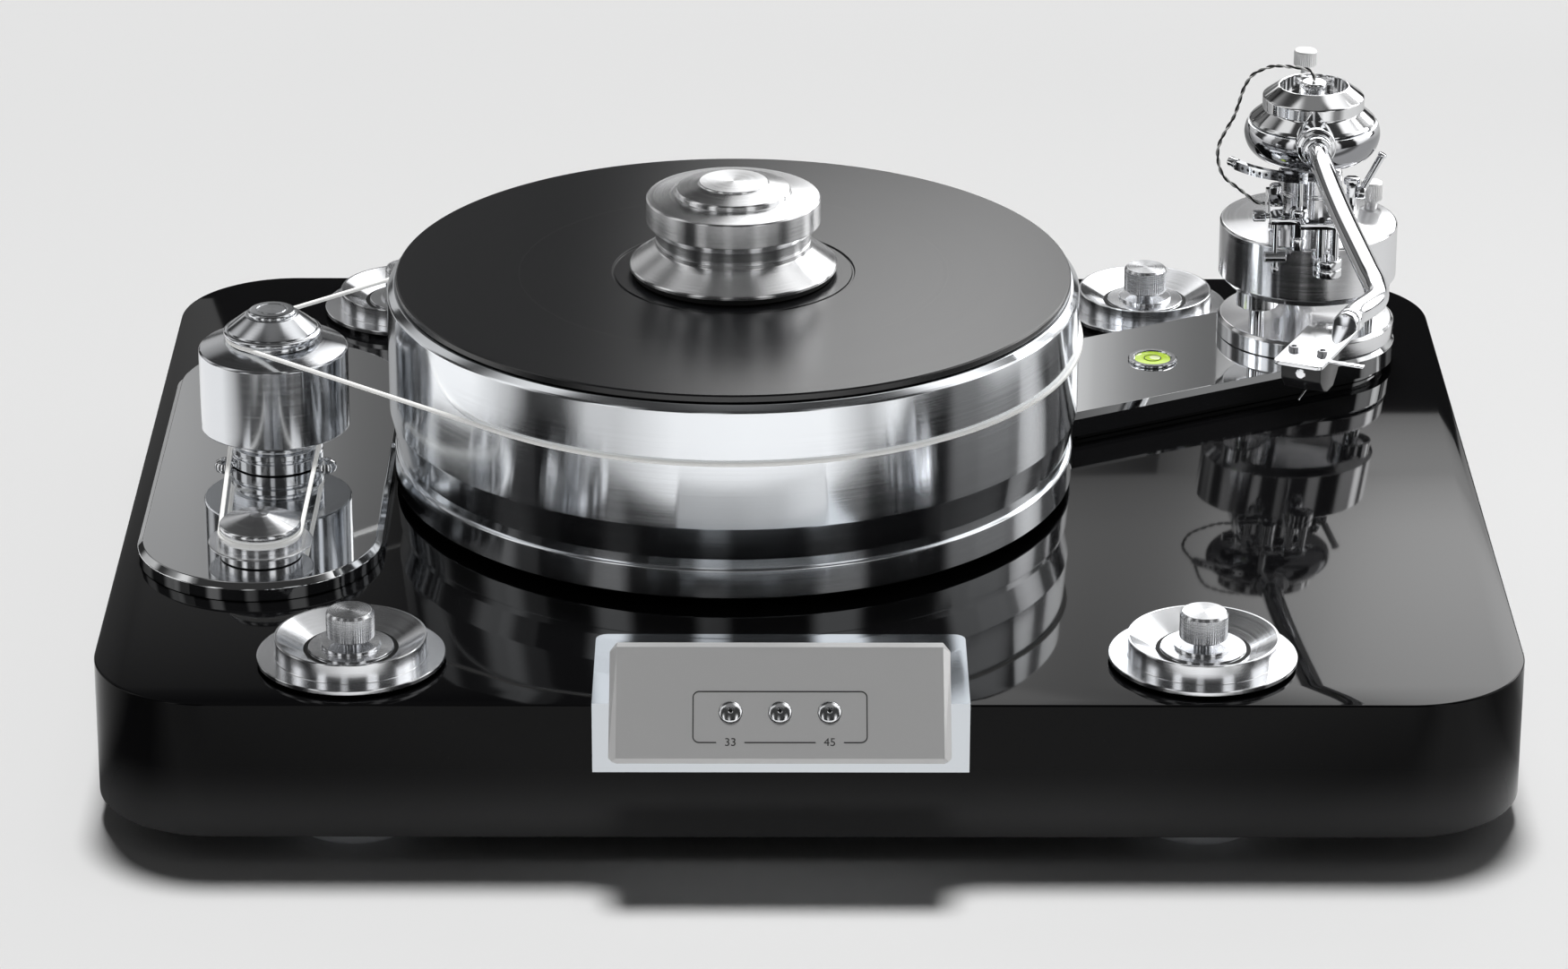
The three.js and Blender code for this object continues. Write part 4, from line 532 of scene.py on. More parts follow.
plinth_mesh = block(plinth_low, plinth_high)
for upright, width, segments in ((True, plinth_corner, 28), (False, plinth_ease, 4)):
    bevel(
        plinth_mesh,
        [e for e in plinth_mesh.edges
         if (abs(e.verts[0].co.z - e.verts[1].co.z) > plinth_ease) == upright],
        width, segments)
underside = max(
    (f for f in plinth_mesh.faces if f.normal.z < -0.99), key=lambda f: f.calc_area())
bmesh.ops.inset_region(plinth_mesh, faces=[underside], thickness=plinth_wall - plinth_ease)
pull(plinth_mesh, underside, (0, 0, plinth_ceiling))
bmesh.ops.delete(plinth_mesh, geom=[underside], context="FACES")
bmesh.ops.recalc_face_normals(plinth_mesh, faces=plinth_mesh.faces)
piece("plinth", plinth_mesh, plinth_lacquer, "black_lacquer", "chassis", "plinth_body", crease=32)

# The cover plate under the plinth: sheet steel with a dark textured paint, held by six domed
# screws.
cover_screw_steel = grained(
    "cover screw steel", (0.5, 0.5, 0.52), 0.3, 0.5 * mm, 0, Metallic=1.0)
cover_screw_outline = [(0, 0), (3.4, 0), (3, -1.1), (1.6, -1.6), (1.2, -0.9), (0, -0.9)]


def refinish(node_name, material):
    """Gives a CAD piece that stays its finish."""
    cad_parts[node_name].data.materials[0] = material


def turned(outline, place, sides=96, ease=0.25, closed=False):
    """A lathe-turned solid. The outline is (radius, height) pairs in millimetres, from the
    underside out and up, and its corners are eased before it is spun. The place is a point or
    a matrix."""
    bm = bmesh.new()
    corners = [bm.verts.new((radius * mm, 0, height * mm)) for radius, height in outline]
    pairs = list(zip(corners, corners[1:]))
    if closed:
        pairs.append((corners[-1], corners[0]))
    for pair in pairs:
        bm.edges.new(pair)
    if ease:
        sharp = corners if closed else corners[1:-1]
        bmesh.ops.bevel(
            bm, geom=sharp, offset=ease * mm, segments=2, profile=0.5, affect="VERTICES",
            clamp_overlap=True, material=-1,
        )
    bmesh.ops.spin(
        bm, geom=bm.verts[:] + bm.edges[:], cent=(0, 0, 0), axis=(0, 0, 1),
        angle=2 * math.pi, steps=sides, use_merge=True,
    )
    bmesh.ops.remove_doubles(bm, verts=bm.verts, dist=1e-6)
    bmesh.ops.recalc_face_normals(bm, faces=bm.faces)
    bm.transform(place if isinstance(place, Matrix) else Matrix.Translation(place))
    return bm


refinish(
    "base_cover", grained("cover paint", (0.035, 0.036, 0.038), 0.55, 1.2 * mm, 0.05 * mm))
cover_low, cover_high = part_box("base_cover")
cover_size = cover_high - cover_low
cover_middle = (cover_high + cover_low) / 2
cover_screws = [
    turned(
        cover_screw_outline,
        Vector((
            cover_middle.x + across * cover_size.x, cover_middle.y + along * cover_size.y,
            cover_low.z)),
        24, 0.15)
    for across in (-0.46, 0, 0.46) for along in (-0.46, 0.46)
]
piece("cover_screws", joined(*cover_screws), cover_screw_steel, "dark_steel", "chassis", crease=20)

# The feet: four pale discs that carry the isolators' studs. Each is turned, with a small
# chamfer where it meets the table.
foot_finish = grained("foot rubber", (0.85, 0.87, 0.9), 0.45, 1.5 * mm, 0.04 * mm)
corner_names = ["front_left", "front_right", "rear_left", "rear_right"]
foot_bottom = -73.5
foot_top = -61.1
for corner in corner_names:
    foot_mesh = turned(
        [
            (0, foot_bottom), (24.8, foot_bottom), (26, foot_bottom + 1.2), (26, foot_top),
            (0, foot_top),
        ],
        axis_of("foot_" + corner),
    )
    piece("pale_foot_" + corner, foot_mesh, foot_finish, "grey_rubber", "chassis", "foot_" + corner)

# The isolators: polished aluminium cups with a wide flange, a dish, and a stepped middle round
# the levelling knob. Two slots show the spring below; each is drawn as a thin black arc of
# painted shade on the dish. The lathe leaves fine rings.


def about_axis(group, place):
    """A place as its reach from the axis and its height."""
    axes = node(group, "SeparateXYZ", {0: place}).outputs
    flat = node(group, "CombineXYZ", {"X": axes["X"], "Y": axes["Y"]})
    reach = node(group, "VectorMath", {0: flat.outputs[0]}, operation="LENGTH")
    return node(group, "CombineXYZ", {"X": reach.outputs["Value"], "Y": axes["Z"]}).outputs[0]


ring_group = noise_group("Lathe rings", "Ring Width", 1 * mm, about_axis, 4, "2D")


def turned_metal(name, axis, colour=(0.86, 0.87, 0.89), roughness=0.24, stretch=0.95):
    """Turned and polished metal: a stretched gloss across fine lathe rings about an axis."""
    material = plain_finish(
        name, colour, roughness, 1.0, Anisotropic=stretch, Anisotropic_Rotation=0.25)
    rings = mask(material, ring_group, 0.7 * mm, axis)
    spread(material, rings, roughness * 0.7, roughness * 1.4)
    emboss(material, rings, 0.0012 * mm)
    return material


cup_outline = [
    (4.1, -14), (30, -14), (30, 1.8), (39.6, 1.8), (39.6, 3.8), (32, 3.8), (32, 12), (31, 12),
    (20, 6), (17.9, 6), (17.9, 7.2), (12.4, 7.2), (12.4, 8.5), (4.1, 8.5),
]
# Painted shade: the slots are thin black arcs lying on the dish's floor.
slot_painted_shade = grained("slot shadow", (0.006, 0.006, 0.006), 0.7, 1 * mm, 0.02 * mm)
slot_half_turn = math.radians(62)
for corner in corner_names:
    cup_axis = axis_of("isolator_cup_" + corner)
    cup_metal = turned_metal("cup aluminium " + corner, cup_axis, roughness=0.17)
    cup_mesh = turned(cup_outline, cup_axis, 128, 0.3, closed=True)
    piece(
        "isolator_" + corner, cup_mesh, cup_metal, "polished_aluminium", "chassis",
        "isolator_cup_" + corner,
    )
    slots = []
    for middle in (0, math.pi):
        slot = bmesh.new()
        floor = [slot.verts.new((radius * mm, 0, 6.06 * mm)) for radius in (17.95, 20)]
        slot.edges.new(floor)
        bmesh.ops.rotate(
            slot, cent=(0, 0, 0), verts=slot.verts,
            matrix=Matrix.Rotation(middle - slot_half_turn, 3, "Z"))
        bmesh.ops.spin(
            slot, geom=slot.verts[:] + slot.edges[:], cent=(0, 0, 0), axis=(0, 0, 1),
            angle=2 * slot_half_turn, steps=32)
        bmesh.ops.solidify(slot, geom=slot.faces[:], thickness=0.05 * mm)
        bmesh.ops.recalc_face_normals(slot, faces=slot.faces)
        slot.transform(Matrix.Translation(cup_axis))
        slots.append(slot)
    piece("isolator_slots_" + corner, joined(*slots), slot_painted_shade, "black_rubber", "chassis")

# The levelling knobs: turned aluminium with a finely knurled grip and a plain domed top. Each
# stands on a long stud that reaches down into its foot.
knob_outline = [
    (0, -66.8), (4, -66.8), (4, 11.3), (9.6, 11.3), (10.2, 11.9), (10.2, 22), (9.2, 23.3),
    (0, 23.3),
]
knurl_depth = 0.2


def knurl(bm, axis, radius, low, high, sides):
    """Presses the straight grip of a turned piece in at every second step round it."""
    for vert in bm.verts:
        arm = vert.co - axis
        height = arm.z / mm
        reach = math.hypot(arm.x, arm.y)
        step = round(math.atan2(arm.y, arm.x) / (2 * math.pi) * sides)
        if step % 2 and low < height < high and abs(reach / mm - radius) < 0.05:
            vert.co.x -= arm.x / reach * knurl_depth * mm
            vert.co.y -= arm.y / reach * knurl_depth * mm
    return bm


for corner in corner_names:
    knob_axis = axis_of("level_knob_" + corner)
    knob_metal = turned_metal("knob aluminium " + corner, knob_axis)
    knob_mesh = knurl(turned(knob_outline, knob_axis, 120, 0.2), knob_axis, 10.2, 11.5, 22.4, 120)
    piece(
        "knob_" + corner, knob_mesh, knob_metal, "brushed_aluminium", "knob_" + corner,
        "level_knob_" + corner,
    )

# The control panel: a folded, mirror-polished bracket over the plinth's front edge, and on it
# a slanted housing of satin brushed aluminium with chamfered ends.


def brushed_place(group, place):
    """A place drawn out from left to right, so that noise on it makes long lines."""
    return node(group, "VectorMath", {0: place, 1: (0.02, 1, 1)}, operation="MULTIPLY").outputs[0]


brush_group = noise_group("Brush lines", "Line Width", 0.3 * mm, brushed_place, 4)


def mirror_chrome(name, roughness=0.05, colour=(0.88, 0.89, 0.91)):
    """Polished plating with faint wiping marks in its gloss."""
    material = plain_finish(name, colour, roughness, 1.0)
    smears = mask(material, grain_group, 9 * mm)
    spread(material, smears, roughness * 0.5, roughness * 1.8)
    return material


refinish("control_bracket", mirror_chrome("bracket polish", 0.04, (0.6, 0.63, 0.66)))
panel_gloss = 0.36
panel_satin = plain_finish("panel satin", (0.64, 0.64, 0.64), panel_gloss, 0.4)
panel_lines = mask(panel_satin, brush_group, 0.35 * mm)
spread(panel_satin, panel_lines, panel_gloss * 0.8, panel_gloss * 1.25)
emboss(panel_satin, panel_lines, 0.004 * mm)
refinish("control_housing", panel_satin)

# The engraving on the panel: a fine dark line round the buttons, open at the bottom where the
# two speeds are marked, and the speeds 33 and 45.
face_tilt = math.radians(42)
face_edge = deck + Vector((-12.5, -273.7, -13.3)) * mm
face_place = Matrix.Translation(face_edge) @ Matrix.Rotation(face_tilt, 4, "X")
engraved = grained("engraved line", (0.05, 0.05, 0.05), 0.6, 0.8 * mm, 0.01 * mm)
line_half = 35.8
line_low = 7.2
line_high = 30
line_corner = 2.6
line_radius = 0.3 * mm
mark_gap = 5.8
mark_offset = 20.4


def face_points(points):
    """Points on the panel's face, from (across, up) pairs in millimetres."""
    return [face_place @ (Vector((across, up, -0.08)) * mm) for across, up in points]


frame_line = [(-mark_offset - mark_gap, line_low)]
for side, up, start in (
    (-1, line_low + line_corner, math.pi), (-1, line_high - line_corner, math.pi / 2),
    (1, line_high - line_corner, 0), (1, line_low + line_corner, -math.pi / 2),
):
    for step in range(8, -1, -1):
        angle = start + step * math.pi / 16
        frame_line.append((
            side * (line_half - line_corner) + line_corner * math.cos(angle),
            up + line_corner * math.sin(angle)))
frame_line.append((mark_offset + mark_gap, line_low))
middle_line = [(-mark_offset + mark_gap, line_low), (mark_offset - mark_gap, line_low)]
line_mesh = joined(*(
    rod_along(face_points(points), line_radius, 2) for points in (frame_line, middle_line)))
piece("panel_line", line_mesh, engraved, "black_plastic", "chassis")


def marking(name, words, across, up, height):
    """Raised lettering a hair's breadth above the panel's face."""
    text = bpy.data.curves.new(name, "FONT")
    text.body = words
    text.align_x = "CENTER"
    text.align_y = "CENTER"
    text.size = height * mm
    text.extrude = 0.03 * mm
    bm = as_bmesh(text)
    bm.transform(face_place @ Matrix.Translation(Vector((across, up, 0.03)) * mm))
    piece(name, bm, engraved, "black_plastic", "chassis")


marking("speed_mark_33", "33", -mark_offset, line_low, 5)
marking("speed_mark_45", "45", mark_offset, line_low, 5)

# The three buttons: small domed caps of polished metal in the panel's face, each with a drilled
# dimple whose floor is a black disc of painted shade. They press in against springs behind the face.
button_radius = 4.75
button_dome = [
    (button_radius * math.cos(angle), 0.3 + 1.45 * math.sin(angle))
    for angle in (step * math.pi / 20 for step in range(9))
]
button_outline = [
    (0, -3.6), (button_radius, -3.6), *button_dome, (0.9, 1.6), (0.9, 0.7), (0, 0.7),
]
dimple_outline = [(0, 0.72), (0.85, 0.72), (0.85, 0.8), (0, 0.8)]
button_up = 20.8
button_metal = mirror_chrome("button polish", 0.12)
# Black for painted shade in the buttons' dimples and the rail's holes, and for the level's printed
# circle.
shade_and_print_black = grained("dimple shadow", (0.01, 0.01, 0.01), 0.6, 0.5 * mm, 0)
for name, body, across in (
    ("button_33", "key_33", -mark_offset), ("button_stop", "key_stop", 0),
    ("button_45", "key_45", mark_offset),
):
    spot = face_place @ Matrix.Translation(Vector((across, button_up, 0)) * mm)
    button_mesh = turned(button_outline, spot, 48, 0.04)
    piece("panel_" + name, button_mesh, button_metal, "chrome", body, name, crease=36)
    # Painted shade: a thin black disc at the dimple's floor.
    dimple_mesh = turned(dimple_outline, spot, 24, 0)
    piece("dimple_" + name, dimple_mesh, shade_and_print_black, "black_plastic", body)

# Inside the plinth: the drive's circuit board, the motor and the bearing's barrel. They are
# hidden, and only the low-voltage inlet shows in the rear wall.
refinish("drive_module", grained("circuit board", (0.03, 0.12, 0.05), 0.5, 4 * mm, 0.1 * mm))
for name, hidden in (("motor steel", "motor_body"), ("bearing steel", "bearing_housing")):
    refinish(hidden, grained(name, (0.3, 0.3, 0.32), 0.35, 1 * mm, 0.01 * mm, Metallic=1.0))
to_rear = Matrix.Rotation(math.radians(-90), 4, "X")
socket_low, socket_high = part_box("rear_socket")
socket_middle = (socket_low + socket_high) / 2
socket_place = Matrix.Translation((socket_middle.x, plinth_high.y, socket_middle.z)) @ to_rear
socket_black = grained("inlet plastic", (0.012, 0.012, 0.013), 0.4, 0.7 * mm, 0.02 * mm)
socket_mesh = turned(
    [(0, -12), (8, -12), (8, 0.3), (10.5, 0.3), (10.5, 2.3), (4, 2.3), (4, -9), (0, -9)],
    socket_place, 64, 0.3)
piece("low_voltage_inlet", socket_mesh, socket_black, "black_plastic", "chassis", "rear_socket")
inlet_pin_mesh = turned(
    [(0, -9), (0.9, -9), (0.9, -1.5), (0.4, -0.9), (0, -0.9)], socket_place, 24, 0)
piece("inlet_pin", inlet_pin_mesh, cover_screw_steel, "chrome", "chassis")

# The motor plate: a thick mirror-polished plate with round ends and a chamfered top edge,
# screwed down by two domed screws beside the flywheel.
plate_top = 8.1
plate_bottom = 0.3
plate_chamfer = 2.4
plate_across = -239.5
plate_front = -92
plate_rear = 90
plate_radius = 53.4


def plate_from_outline(bm, bottom, top, chamfer):
    """Fills a flat outline, raises it to a plate and chamfers its top edge."""
    bmesh.ops.remove_doubles(bm, verts=bm.verts, dist=1e-6)
    sheet = bmesh.ops.contextual_create(bm, geom=bm.edges[:])["faces"][0]
    bmesh.ops.translate(bm, vec=(0, 0, bottom * mm), verts=bm.verts)
    pull(bm, sheet, (0, 0, (top - bottom) * mm))
    bmesh.ops.recalc_face_normals(bm, faces=bm.faces)
    rim = [
        e for e in bm.edges
        if all(abs(v.co.z - top * mm) < 1e-7 for v in e.verts) and len(e.link_faces) == 2
    ]
    bevel(bm, rim, chamfer * mm, 1)
    eased = [
        e for e in bm.edges
        if len(e.link_faces) == 2 and e.calc_face_angle() > math.radians(25)
        and e.verts[0].co.z > (bottom + 0.5) * mm and abs(e.verts[0].co.z - e.verts[1].co.z) < 1e-7
    ]
    bevel(bm, eased, 0.25 * mm)
    return bm


def arc(bm, centre, radius, start, angle, steps):
    """Spins a point round a centre and leaves the arc's edges."""
    first = bm.verts.new((
        (centre[0] + radius * math.cos(start)) * mm,
        (centre[1] + radius * math.sin(start)) * mm, 0))
    made = bmesh.ops.spin(
        bm, geom=[first], cent=(centre[0] * mm, centre[1] * mm, 0), axis=(0, 0, 1),
        angle=angle, steps=steps)
    last = [v for v in made["geom_last"] if isinstance(v, bmesh.types.BMVert)][0]
    return first, last


plate_polish = mirror_chrome("plate polish", 0.03, (0.74, 0.75, 0.76))
plate_mesh = bmesh.new()
front_first, front_last = arc(
    plate_mesh, (plate_across, plate_front), plate_radius, math.pi, math.pi, 48)
rear_first, rear_last = arc(plate_mesh, (plate_across, plate_rear), plate_radius, 0, math.pi, 48)
plate_mesh.edges.new((front_last, rear_first))
plate_mesh.edges.new((rear_last, front_first))
plate_from_outline(plate_mesh, plate_bottom, plate_top, plate_chamfer)
plate_mesh.transform(Matrix.Translation(deck))
piece("motor_base_plate", plate_mesh, plate_polish, "black_plate", "chassis", "motor_plate")
plate_screw_outline = [
    (0, 8), (5, 8), (5, 8.9), (4.3, 10.2), (2.6, 11.2), (1.9, 11.3), (1.6, 10.2), (0, 10.2),
]
plate_screws = [
    turned(plate_screw_outline, deck + Vector((x, y, 0)) * mm, 48, 0.1)
    for x, y in ((-261.5, -11.7), (-216.5, -11.6))
]
screw_chrome = mirror_chrome("screw polish", 0.1)
piece("plate_screws", joined(*plate_screws), screw_chrome, "chrome", "chassis")

# The flywheel: a chromed drum over a slim neck, with a small grooved pulley and a cone on top.
# It takes the drive from the motor's belt below and hands it to the platter's belt above.
flywheel_axis = axis_of("flywheel")
flywheel_metal = turned_metal("flywheel polish", flywheel_axis, (0.74, 0.755, 0.78), 0.13)
flywheel_mesh = turned(
    [
        (5.05, 8.6), (21, 8.6), (21, 13.2), (20, 13.6), (20, 14.6), (21, 15), (21, 17.5),
        (19.2, 18), (19, 19), (19.2, 20), (21, 20.5), (21, 25.5), (32.8, 25.5), (33.4, 26.1),
        (33.4, 62.4), (32.6, 63.2), (22, 66.4), (5.05, 66.4),
    ],
    flywheel_axis, 128, 0.2, closed=True)
piece("flywheel_drum", flywheel_mesh, flywheel_metal, "chrome", "turning_flywheel", "flywheel")
pulley_mesh = turned(
    [
        (0, 66.7), (20, 66.7), (19.6, 67.2), (19.3, 68.2), (19.6, 69), (21.2, 69.4), (21.8, 69.8),
        (22, 70.4), (21.8, 71.1), (21.2, 71.6), (20.4, 71.9), (19.9, 72.6), (12.2, 78.6),
        (11.5, 78.8), (11.1, 78.7), (10.8, 79), (10.6, 79.9), (10, 80.5), (9.2, 80.7), (7, 80.8),
        (6.7, 80.5), (6.3, 80.5), (5.9, 80.8), (0, 80.8),
    ],
    flywheel_axis, 128, 0.15)
piece("belt_pulley", pulley_mesh, flywheel_metal, "chrome", "turning_flywheel", "flywheel_pulley")
refinish("flywheel_pin", grained("pin steel", (0.35, 0.35, 0.37), 0.3, 1 * mm, 0, Metallic=1.0))

# The motor's pulley: aluminium with a wide lip, a belt groove and a shallow cone, pressed on
# the shaft that comes up through the plate.
motor_axis = axis_of("motor_pulley")
motor_metal = turned_metal("pulley aluminium", motor_axis, roughness=0.2)
motor_pulley_mesh = turned(
    [
        (0, -38), (3, -38), (3, 8.6), (18, 8.6), (18, 13.8), (22.3, 13.8), (22.7, 14.2),
        (22.7, 14.5), (22.2, 14.8), (18, 14.8), (18, 17.2), (16.8, 18), (16.5, 19), (16.8, 20),
        (17.4, 20.6), (17.7, 21.1), (17.8, 21.9), (17.6, 22.8), (17.1, 23.4), (16.2, 23.7), (4.5, 27.2),
        (4, 27.5), (0, 27.5),
    ],
    motor_axis, 96, 0.15)
piece(
    "motor_drive_pulley", motor_pulley_mesh, motor_metal, "polished_aluminium", "turning_motor",
    "motor_pulley")

# The platter: a tall, heavy aluminium disc, turned and polished, with a flared foot, a narrow
# waist and a plain lower ring. It rides on the spindle of a hidden bearing.
platter_axis = axis_of("platter")
platter_metal = turned_metal("platter polish", platter_axis, (0.9, 0.925, 0.955), 0.11)
platter_mesh = turned(
    [
        (3.9, 30), (48, 30), (48, 4.5), (151.9, 4.5), (152.4, 5), (152.4, 17.5), (151.9, 18),
        (151, 18), (151, 22.5), (154.4, 37.3), (154.5, 37.8), (154.5, 91), (153.9, 91.8),
        (151.5, 93.9), (3.9, 93.9),
    ],
    platter_axis, 256, 0.2, closed=True)
piece(
    "platter_disc", platter_mesh, platter_metal, "polished_aluminium", "turning_platter",
    "platter")
spindle_mesh = turned(
    [
        (0, -45.7), (8, -45.7), (8, 24), (28, 24), (28, 29.7), (3.6, 29.7), (3.6, 111.8),
        (2.4, 113), (0, 113),
    ],
    platter_axis, 64, 0.2)
spindle_polish = mirror_chrome("spindle polish", 0.08)
piece("spindle_pin", spindle_mesh, spindle_polish, "chrome", "turning_platter", "spindle")

# The mat: a thin disc of satin black plastic that covers the platter, with a fine groove at the
# edge of the record's label.
mat_black = plain_finish("mat satin", (0.004, 0.0043, 0.005), 0.25, Specular_IOR_Level=0.8)
mat_rings = mask(mat_black, ring_group, 0.5 * mm, platter_axis)
spread(mat_black, mat_rings, 0.24, 0.28)
emboss(mat_black, mat_rings, 0.002 * mm)
mat_mesh = turned(
    [
        (3.9, 94.2), (150, 94.2), (150.5, 94.7), (150.5, 97.1), (149.9, 97.7), (54.2, 97.7),
        (53.9, 96.9), (53.1, 96.9), (52.8, 97.7), (3.9, 97.7),
    ],
    platter_axis, 256, 0.1, closed=True)
piece("record_mat", mat_mesh, mat_black, "black_mat", "turning_platter", "platter_mat")

# The record clamp: a turned aluminium weight with a spreading foot, a waist with a fine groove
# and a broad stepped head, on a thin pad of black rubber.
clamp_metal = turned_metal("clamp polish", platter_axis, (0.86, 0.865, 0.875), 0.2, 1.0)
clamp_mesh = turned(
    [
        (0, 117), (3.9, 117), (3.9, 100.4), (45.9, 100.4), (46.3, 100.8), (46.3, 101.9),
        (45.9, 102.5), (34.9, 110.1), (34.5, 110.6), (34.5, 112.6), (33.7, 112.9), (33.7, 113.7),
        (34.5, 114), (35.3, 118.6), (38.3, 121.3), (38.8, 122), (38.8, 132.5), (38.2, 133.2),
        (26, 134.4), (25.5, 134.7), (25.5, 136.4), (25, 137.1), (16, 139.2), (15.5, 139.5),
        (15.5, 139.9), (15.1, 140.2), (0, 140.2),
    ],
    platter_axis, 160, 0.12)
piece("clamp_weight", clamp_mesh, clamp_metal, "polished_aluminium", "record_clamp", "clamp_body")
pad_mesh = turned(
    [(3.9, 98), (45, 98), (45, 100.1), (3.9, 100.1)], platter_axis, 128, 0.3, closed=True)
pad_rubber = grained("clamp rubber", (0.01, 0.01, 0.01), 0.7, 0.8 * mm, 0.03 * mm)
piece("clamp_rubber", pad_mesh, pad_rubber, "black_rubber", "record_clamp", "clamp_pad")

# The belts: two round cords of pale elastic, closed into rings. The long one drives the platter
# from the flywheel's upper pulley, and the short one drives the flywheel from the motor.
belt_radius = 1
# The elastic has a faint white glow: painted light that makes the belts read pale.
belt_elastic_glow = grained(
    "belt elastic", (0.95, 0.95, 0.93), 0.4, 2 * mm, 0.01 * mm,
    Emission_Color=(1, 1, 0.98, 1), Emission_Strength=0.3)


def belt_ring(first, first_radius, second, second_radius, height, steps):
    """The closed line of an open belt round two pulleys."""
    run = second - first
    along = math.atan2(run.y, run.x)
    lean = math.acos((first_radius - second_radius) * mm / run.length)
    line = []
    for centre, radius, start, end in (
        (first, first_radius, along + lean, along - lean + 2 * math.pi),
        (second, second_radius, along - lean, along + lean),
    ):
        for step in range(steps + 1):
            angle = start + (end - start) * step / steps
            spoke = Vector((radius * math.cos(angle), radius * math.sin(angle), height))
            line.append(centre + spoke * mm)
    return line


long_line = belt_ring(
    platter_axis, 154.5 + belt_radius, flywheel_axis, 19.3 + belt_radius, 68.2, 96)
short_line = belt_ring(flywheel_axis, 19 + belt_radius, motor_axis, 16.5 + belt_radius, 19, 40)
for name, line, replaced in (
    ("platter_belt", long_line, "long_belt"), ("motor_belt", short_line, "short_belt"),
):
    belt_mesh = rod_along(line, belt_radius * mm, 4, True)
    piece(name, belt_mesh, belt_elastic_glow, "pale_belt", "chassis", replaced, crease=60)

# The arm board: a thick mirror-polished bar from beside the platter to the arm's axis, with a
# round outer end, a hollow inner end that follows the platter, and a chamfered top edge. A
# narrower foot lifts it off the plinth.
board_run = arm_axis - platter_axis
board_length = board_run.length / mm
board_turn = math.atan2(board_run.y, board_run.x)
board_place = Matrix.Translation(platter_axis) @ Matrix.Rotation(board_turn, 4, "Z")
board_half = 42.3
board_inner = 158.5


def board_outline(inset):
    """The board's outline, drawn in by an inset."""
    bm = bmesh.new()
    half = board_half - inset
    inner = board_inner + inset
    swing = math.asin(half / inner)
    end_first, end_last = arc(bm, (board_length, 0), half, -math.pi / 2, math.pi, 48)
    hollow_first, hollow_last = arc(bm, (0, 0), inner, swing, -2 * swing, 36)
    bm.edges.new((end_last, hollow_first))
    bm.edges.new((hollow_last, end_first))
    return bm


board_mesh = plate_from_outline(board_outline(0), 3.6, 14.3, 2.5)
board_mesh.transform(board_place)
board_foot = plate_from_outline(board_outline(4), 0.3, 3.6, 0.3)
board_foot.transform(board_place)
board_whole = joined(board_mesh, board_foot)
piece("arm_bar", board_whole, plate_polish, "black_plate", "chassis", "arm_board")

# The bubble level in the board: a chromed ring round a vial of yellow-green fluid, with a
# bubble under its glass and a black circle to centre it by.
level_axis = axis_of("level_ring")
level_chrome = mirror_chrome("level polish", 0.08)
collar_outline = [
    (0, 14.32), (9.7, 14.32), (9.7, 14.4), (11, 14.4), (11.4, 14.8), (11.4, 15.3), (10.9, 15.8),
    (9.1, 15.8), (8.6, 15.3), (8.6, 14.6), (0, 14.6),
]
ring_mesh = turned(collar_outline, level_axis, 96, 0.1)
piece("level_collar", ring_mesh, level_chrome, "chrome", "chassis", "level_ring")
fluid_colour = (0.5, 0.72, 0.02)
# The fluid has a faint glow in its own colour: painted light.
fluid = plain_finish(
    "level fluid", fluid_colour, 0.12, Coat_Weight=1.0, Coat_Roughness=0.02,
    Emission_Color=(*fluid_colour, 1), Emission_Strength=0.12)
spread(fluid, mask(fluid, grain_group, 3 * mm), 0.08, 0.16)
vial_mesh = turned(
    [(0, 14.65), (8.3, 14.65), (8.3, 15.1), (5, 15.35), (0, 15.42)], level_axis, 96, 0.1)
piece("level_glass", vial_mesh, fluid, "level_fluid", "chassis", "level_vial")
circle_mesh = turned(
    [(3.7, 15.36), (4.1, 15.36), (4.1, 15.5), (3.7, 15.5)], level_axis, 64, 0, closed=True)
piece("level_circle", circle_mesh, shade_and_print_black, "black_plastic", "chassis")
bubble_mesh = turned(
    [(0, 15.4), (2.6, 15.4), (2.4, 15.48), (1.6, 15.56), (0, 15.6)],
    level_axis + Vector((1.2, 0.6, 0)) * mm, 40, 0)
bubble_glint = grained("bubble glint", (0.8, 0.9, 0.45), 0.08, 1 * mm, 0, Coat_Weight=1.0)
piece("level_bubble", bubble_mesh, bubble_glint, "level_fluid", "chassis")

# The arm's base: a chromed disc on the board and three polished guide pins. The tower slides on
# the pins in three sleeves, and a knurled knob on its rear locks it.
arm_metal = turned_metal("tower polish", arm_axis, (0.88, 0.885, 0.9), 0.13)
arm_chrome = mirror_chrome("arm polish", 0.05)
base_mesh = turned(
    [(0, 14.6), (41.7, 14.6), (41.7, 21.7), (40.2, 23.2), (0, 23.2)], arm_axis, 160, 0.25)
piece("arm_base", base_mesh, arm_metal, "chrome", "chassis", "arm_base_disc")
pin_outline = [(0, 18), (3.6, 18), (3.6, 59.4), (3, 60), (0, 60)]
sleeve_outline = [(3.7, 34), (9.2, 34), (9.8, 34.6), (9.8, 42), (3.7, 42)]
sleeve_meshes = []
for side in ("left", "right", "rear"):
    pin_axis = axis_of("guide_pin_" + side)
    pin_mesh = turned(pin_outline, pin_axis, 64, 0.1)
    piece("guide_rod_" + side, pin_mesh, arm_chrome, "chrome", "chassis", "guide_pin_" + side)
    sleeve_meshes.append(turned(sleeve_outline, pin_axis, 64, 0.2, closed=True))
tower_mesh = turned(
    [(0, 40.4), (37.7, 40.4), (41.7, 44.4), (41.7, 69.4), (40.9, 70.2), (20, 71.6), (0, 71.6)],
    arm_axis, 160, 0.3)
piece(
    "tower_drum", joined(tower_mesh, *sleeve_meshes), arm_metal, "chrome", "tower", "arm_tower")
lock_axis = axis_of("tower_knob")
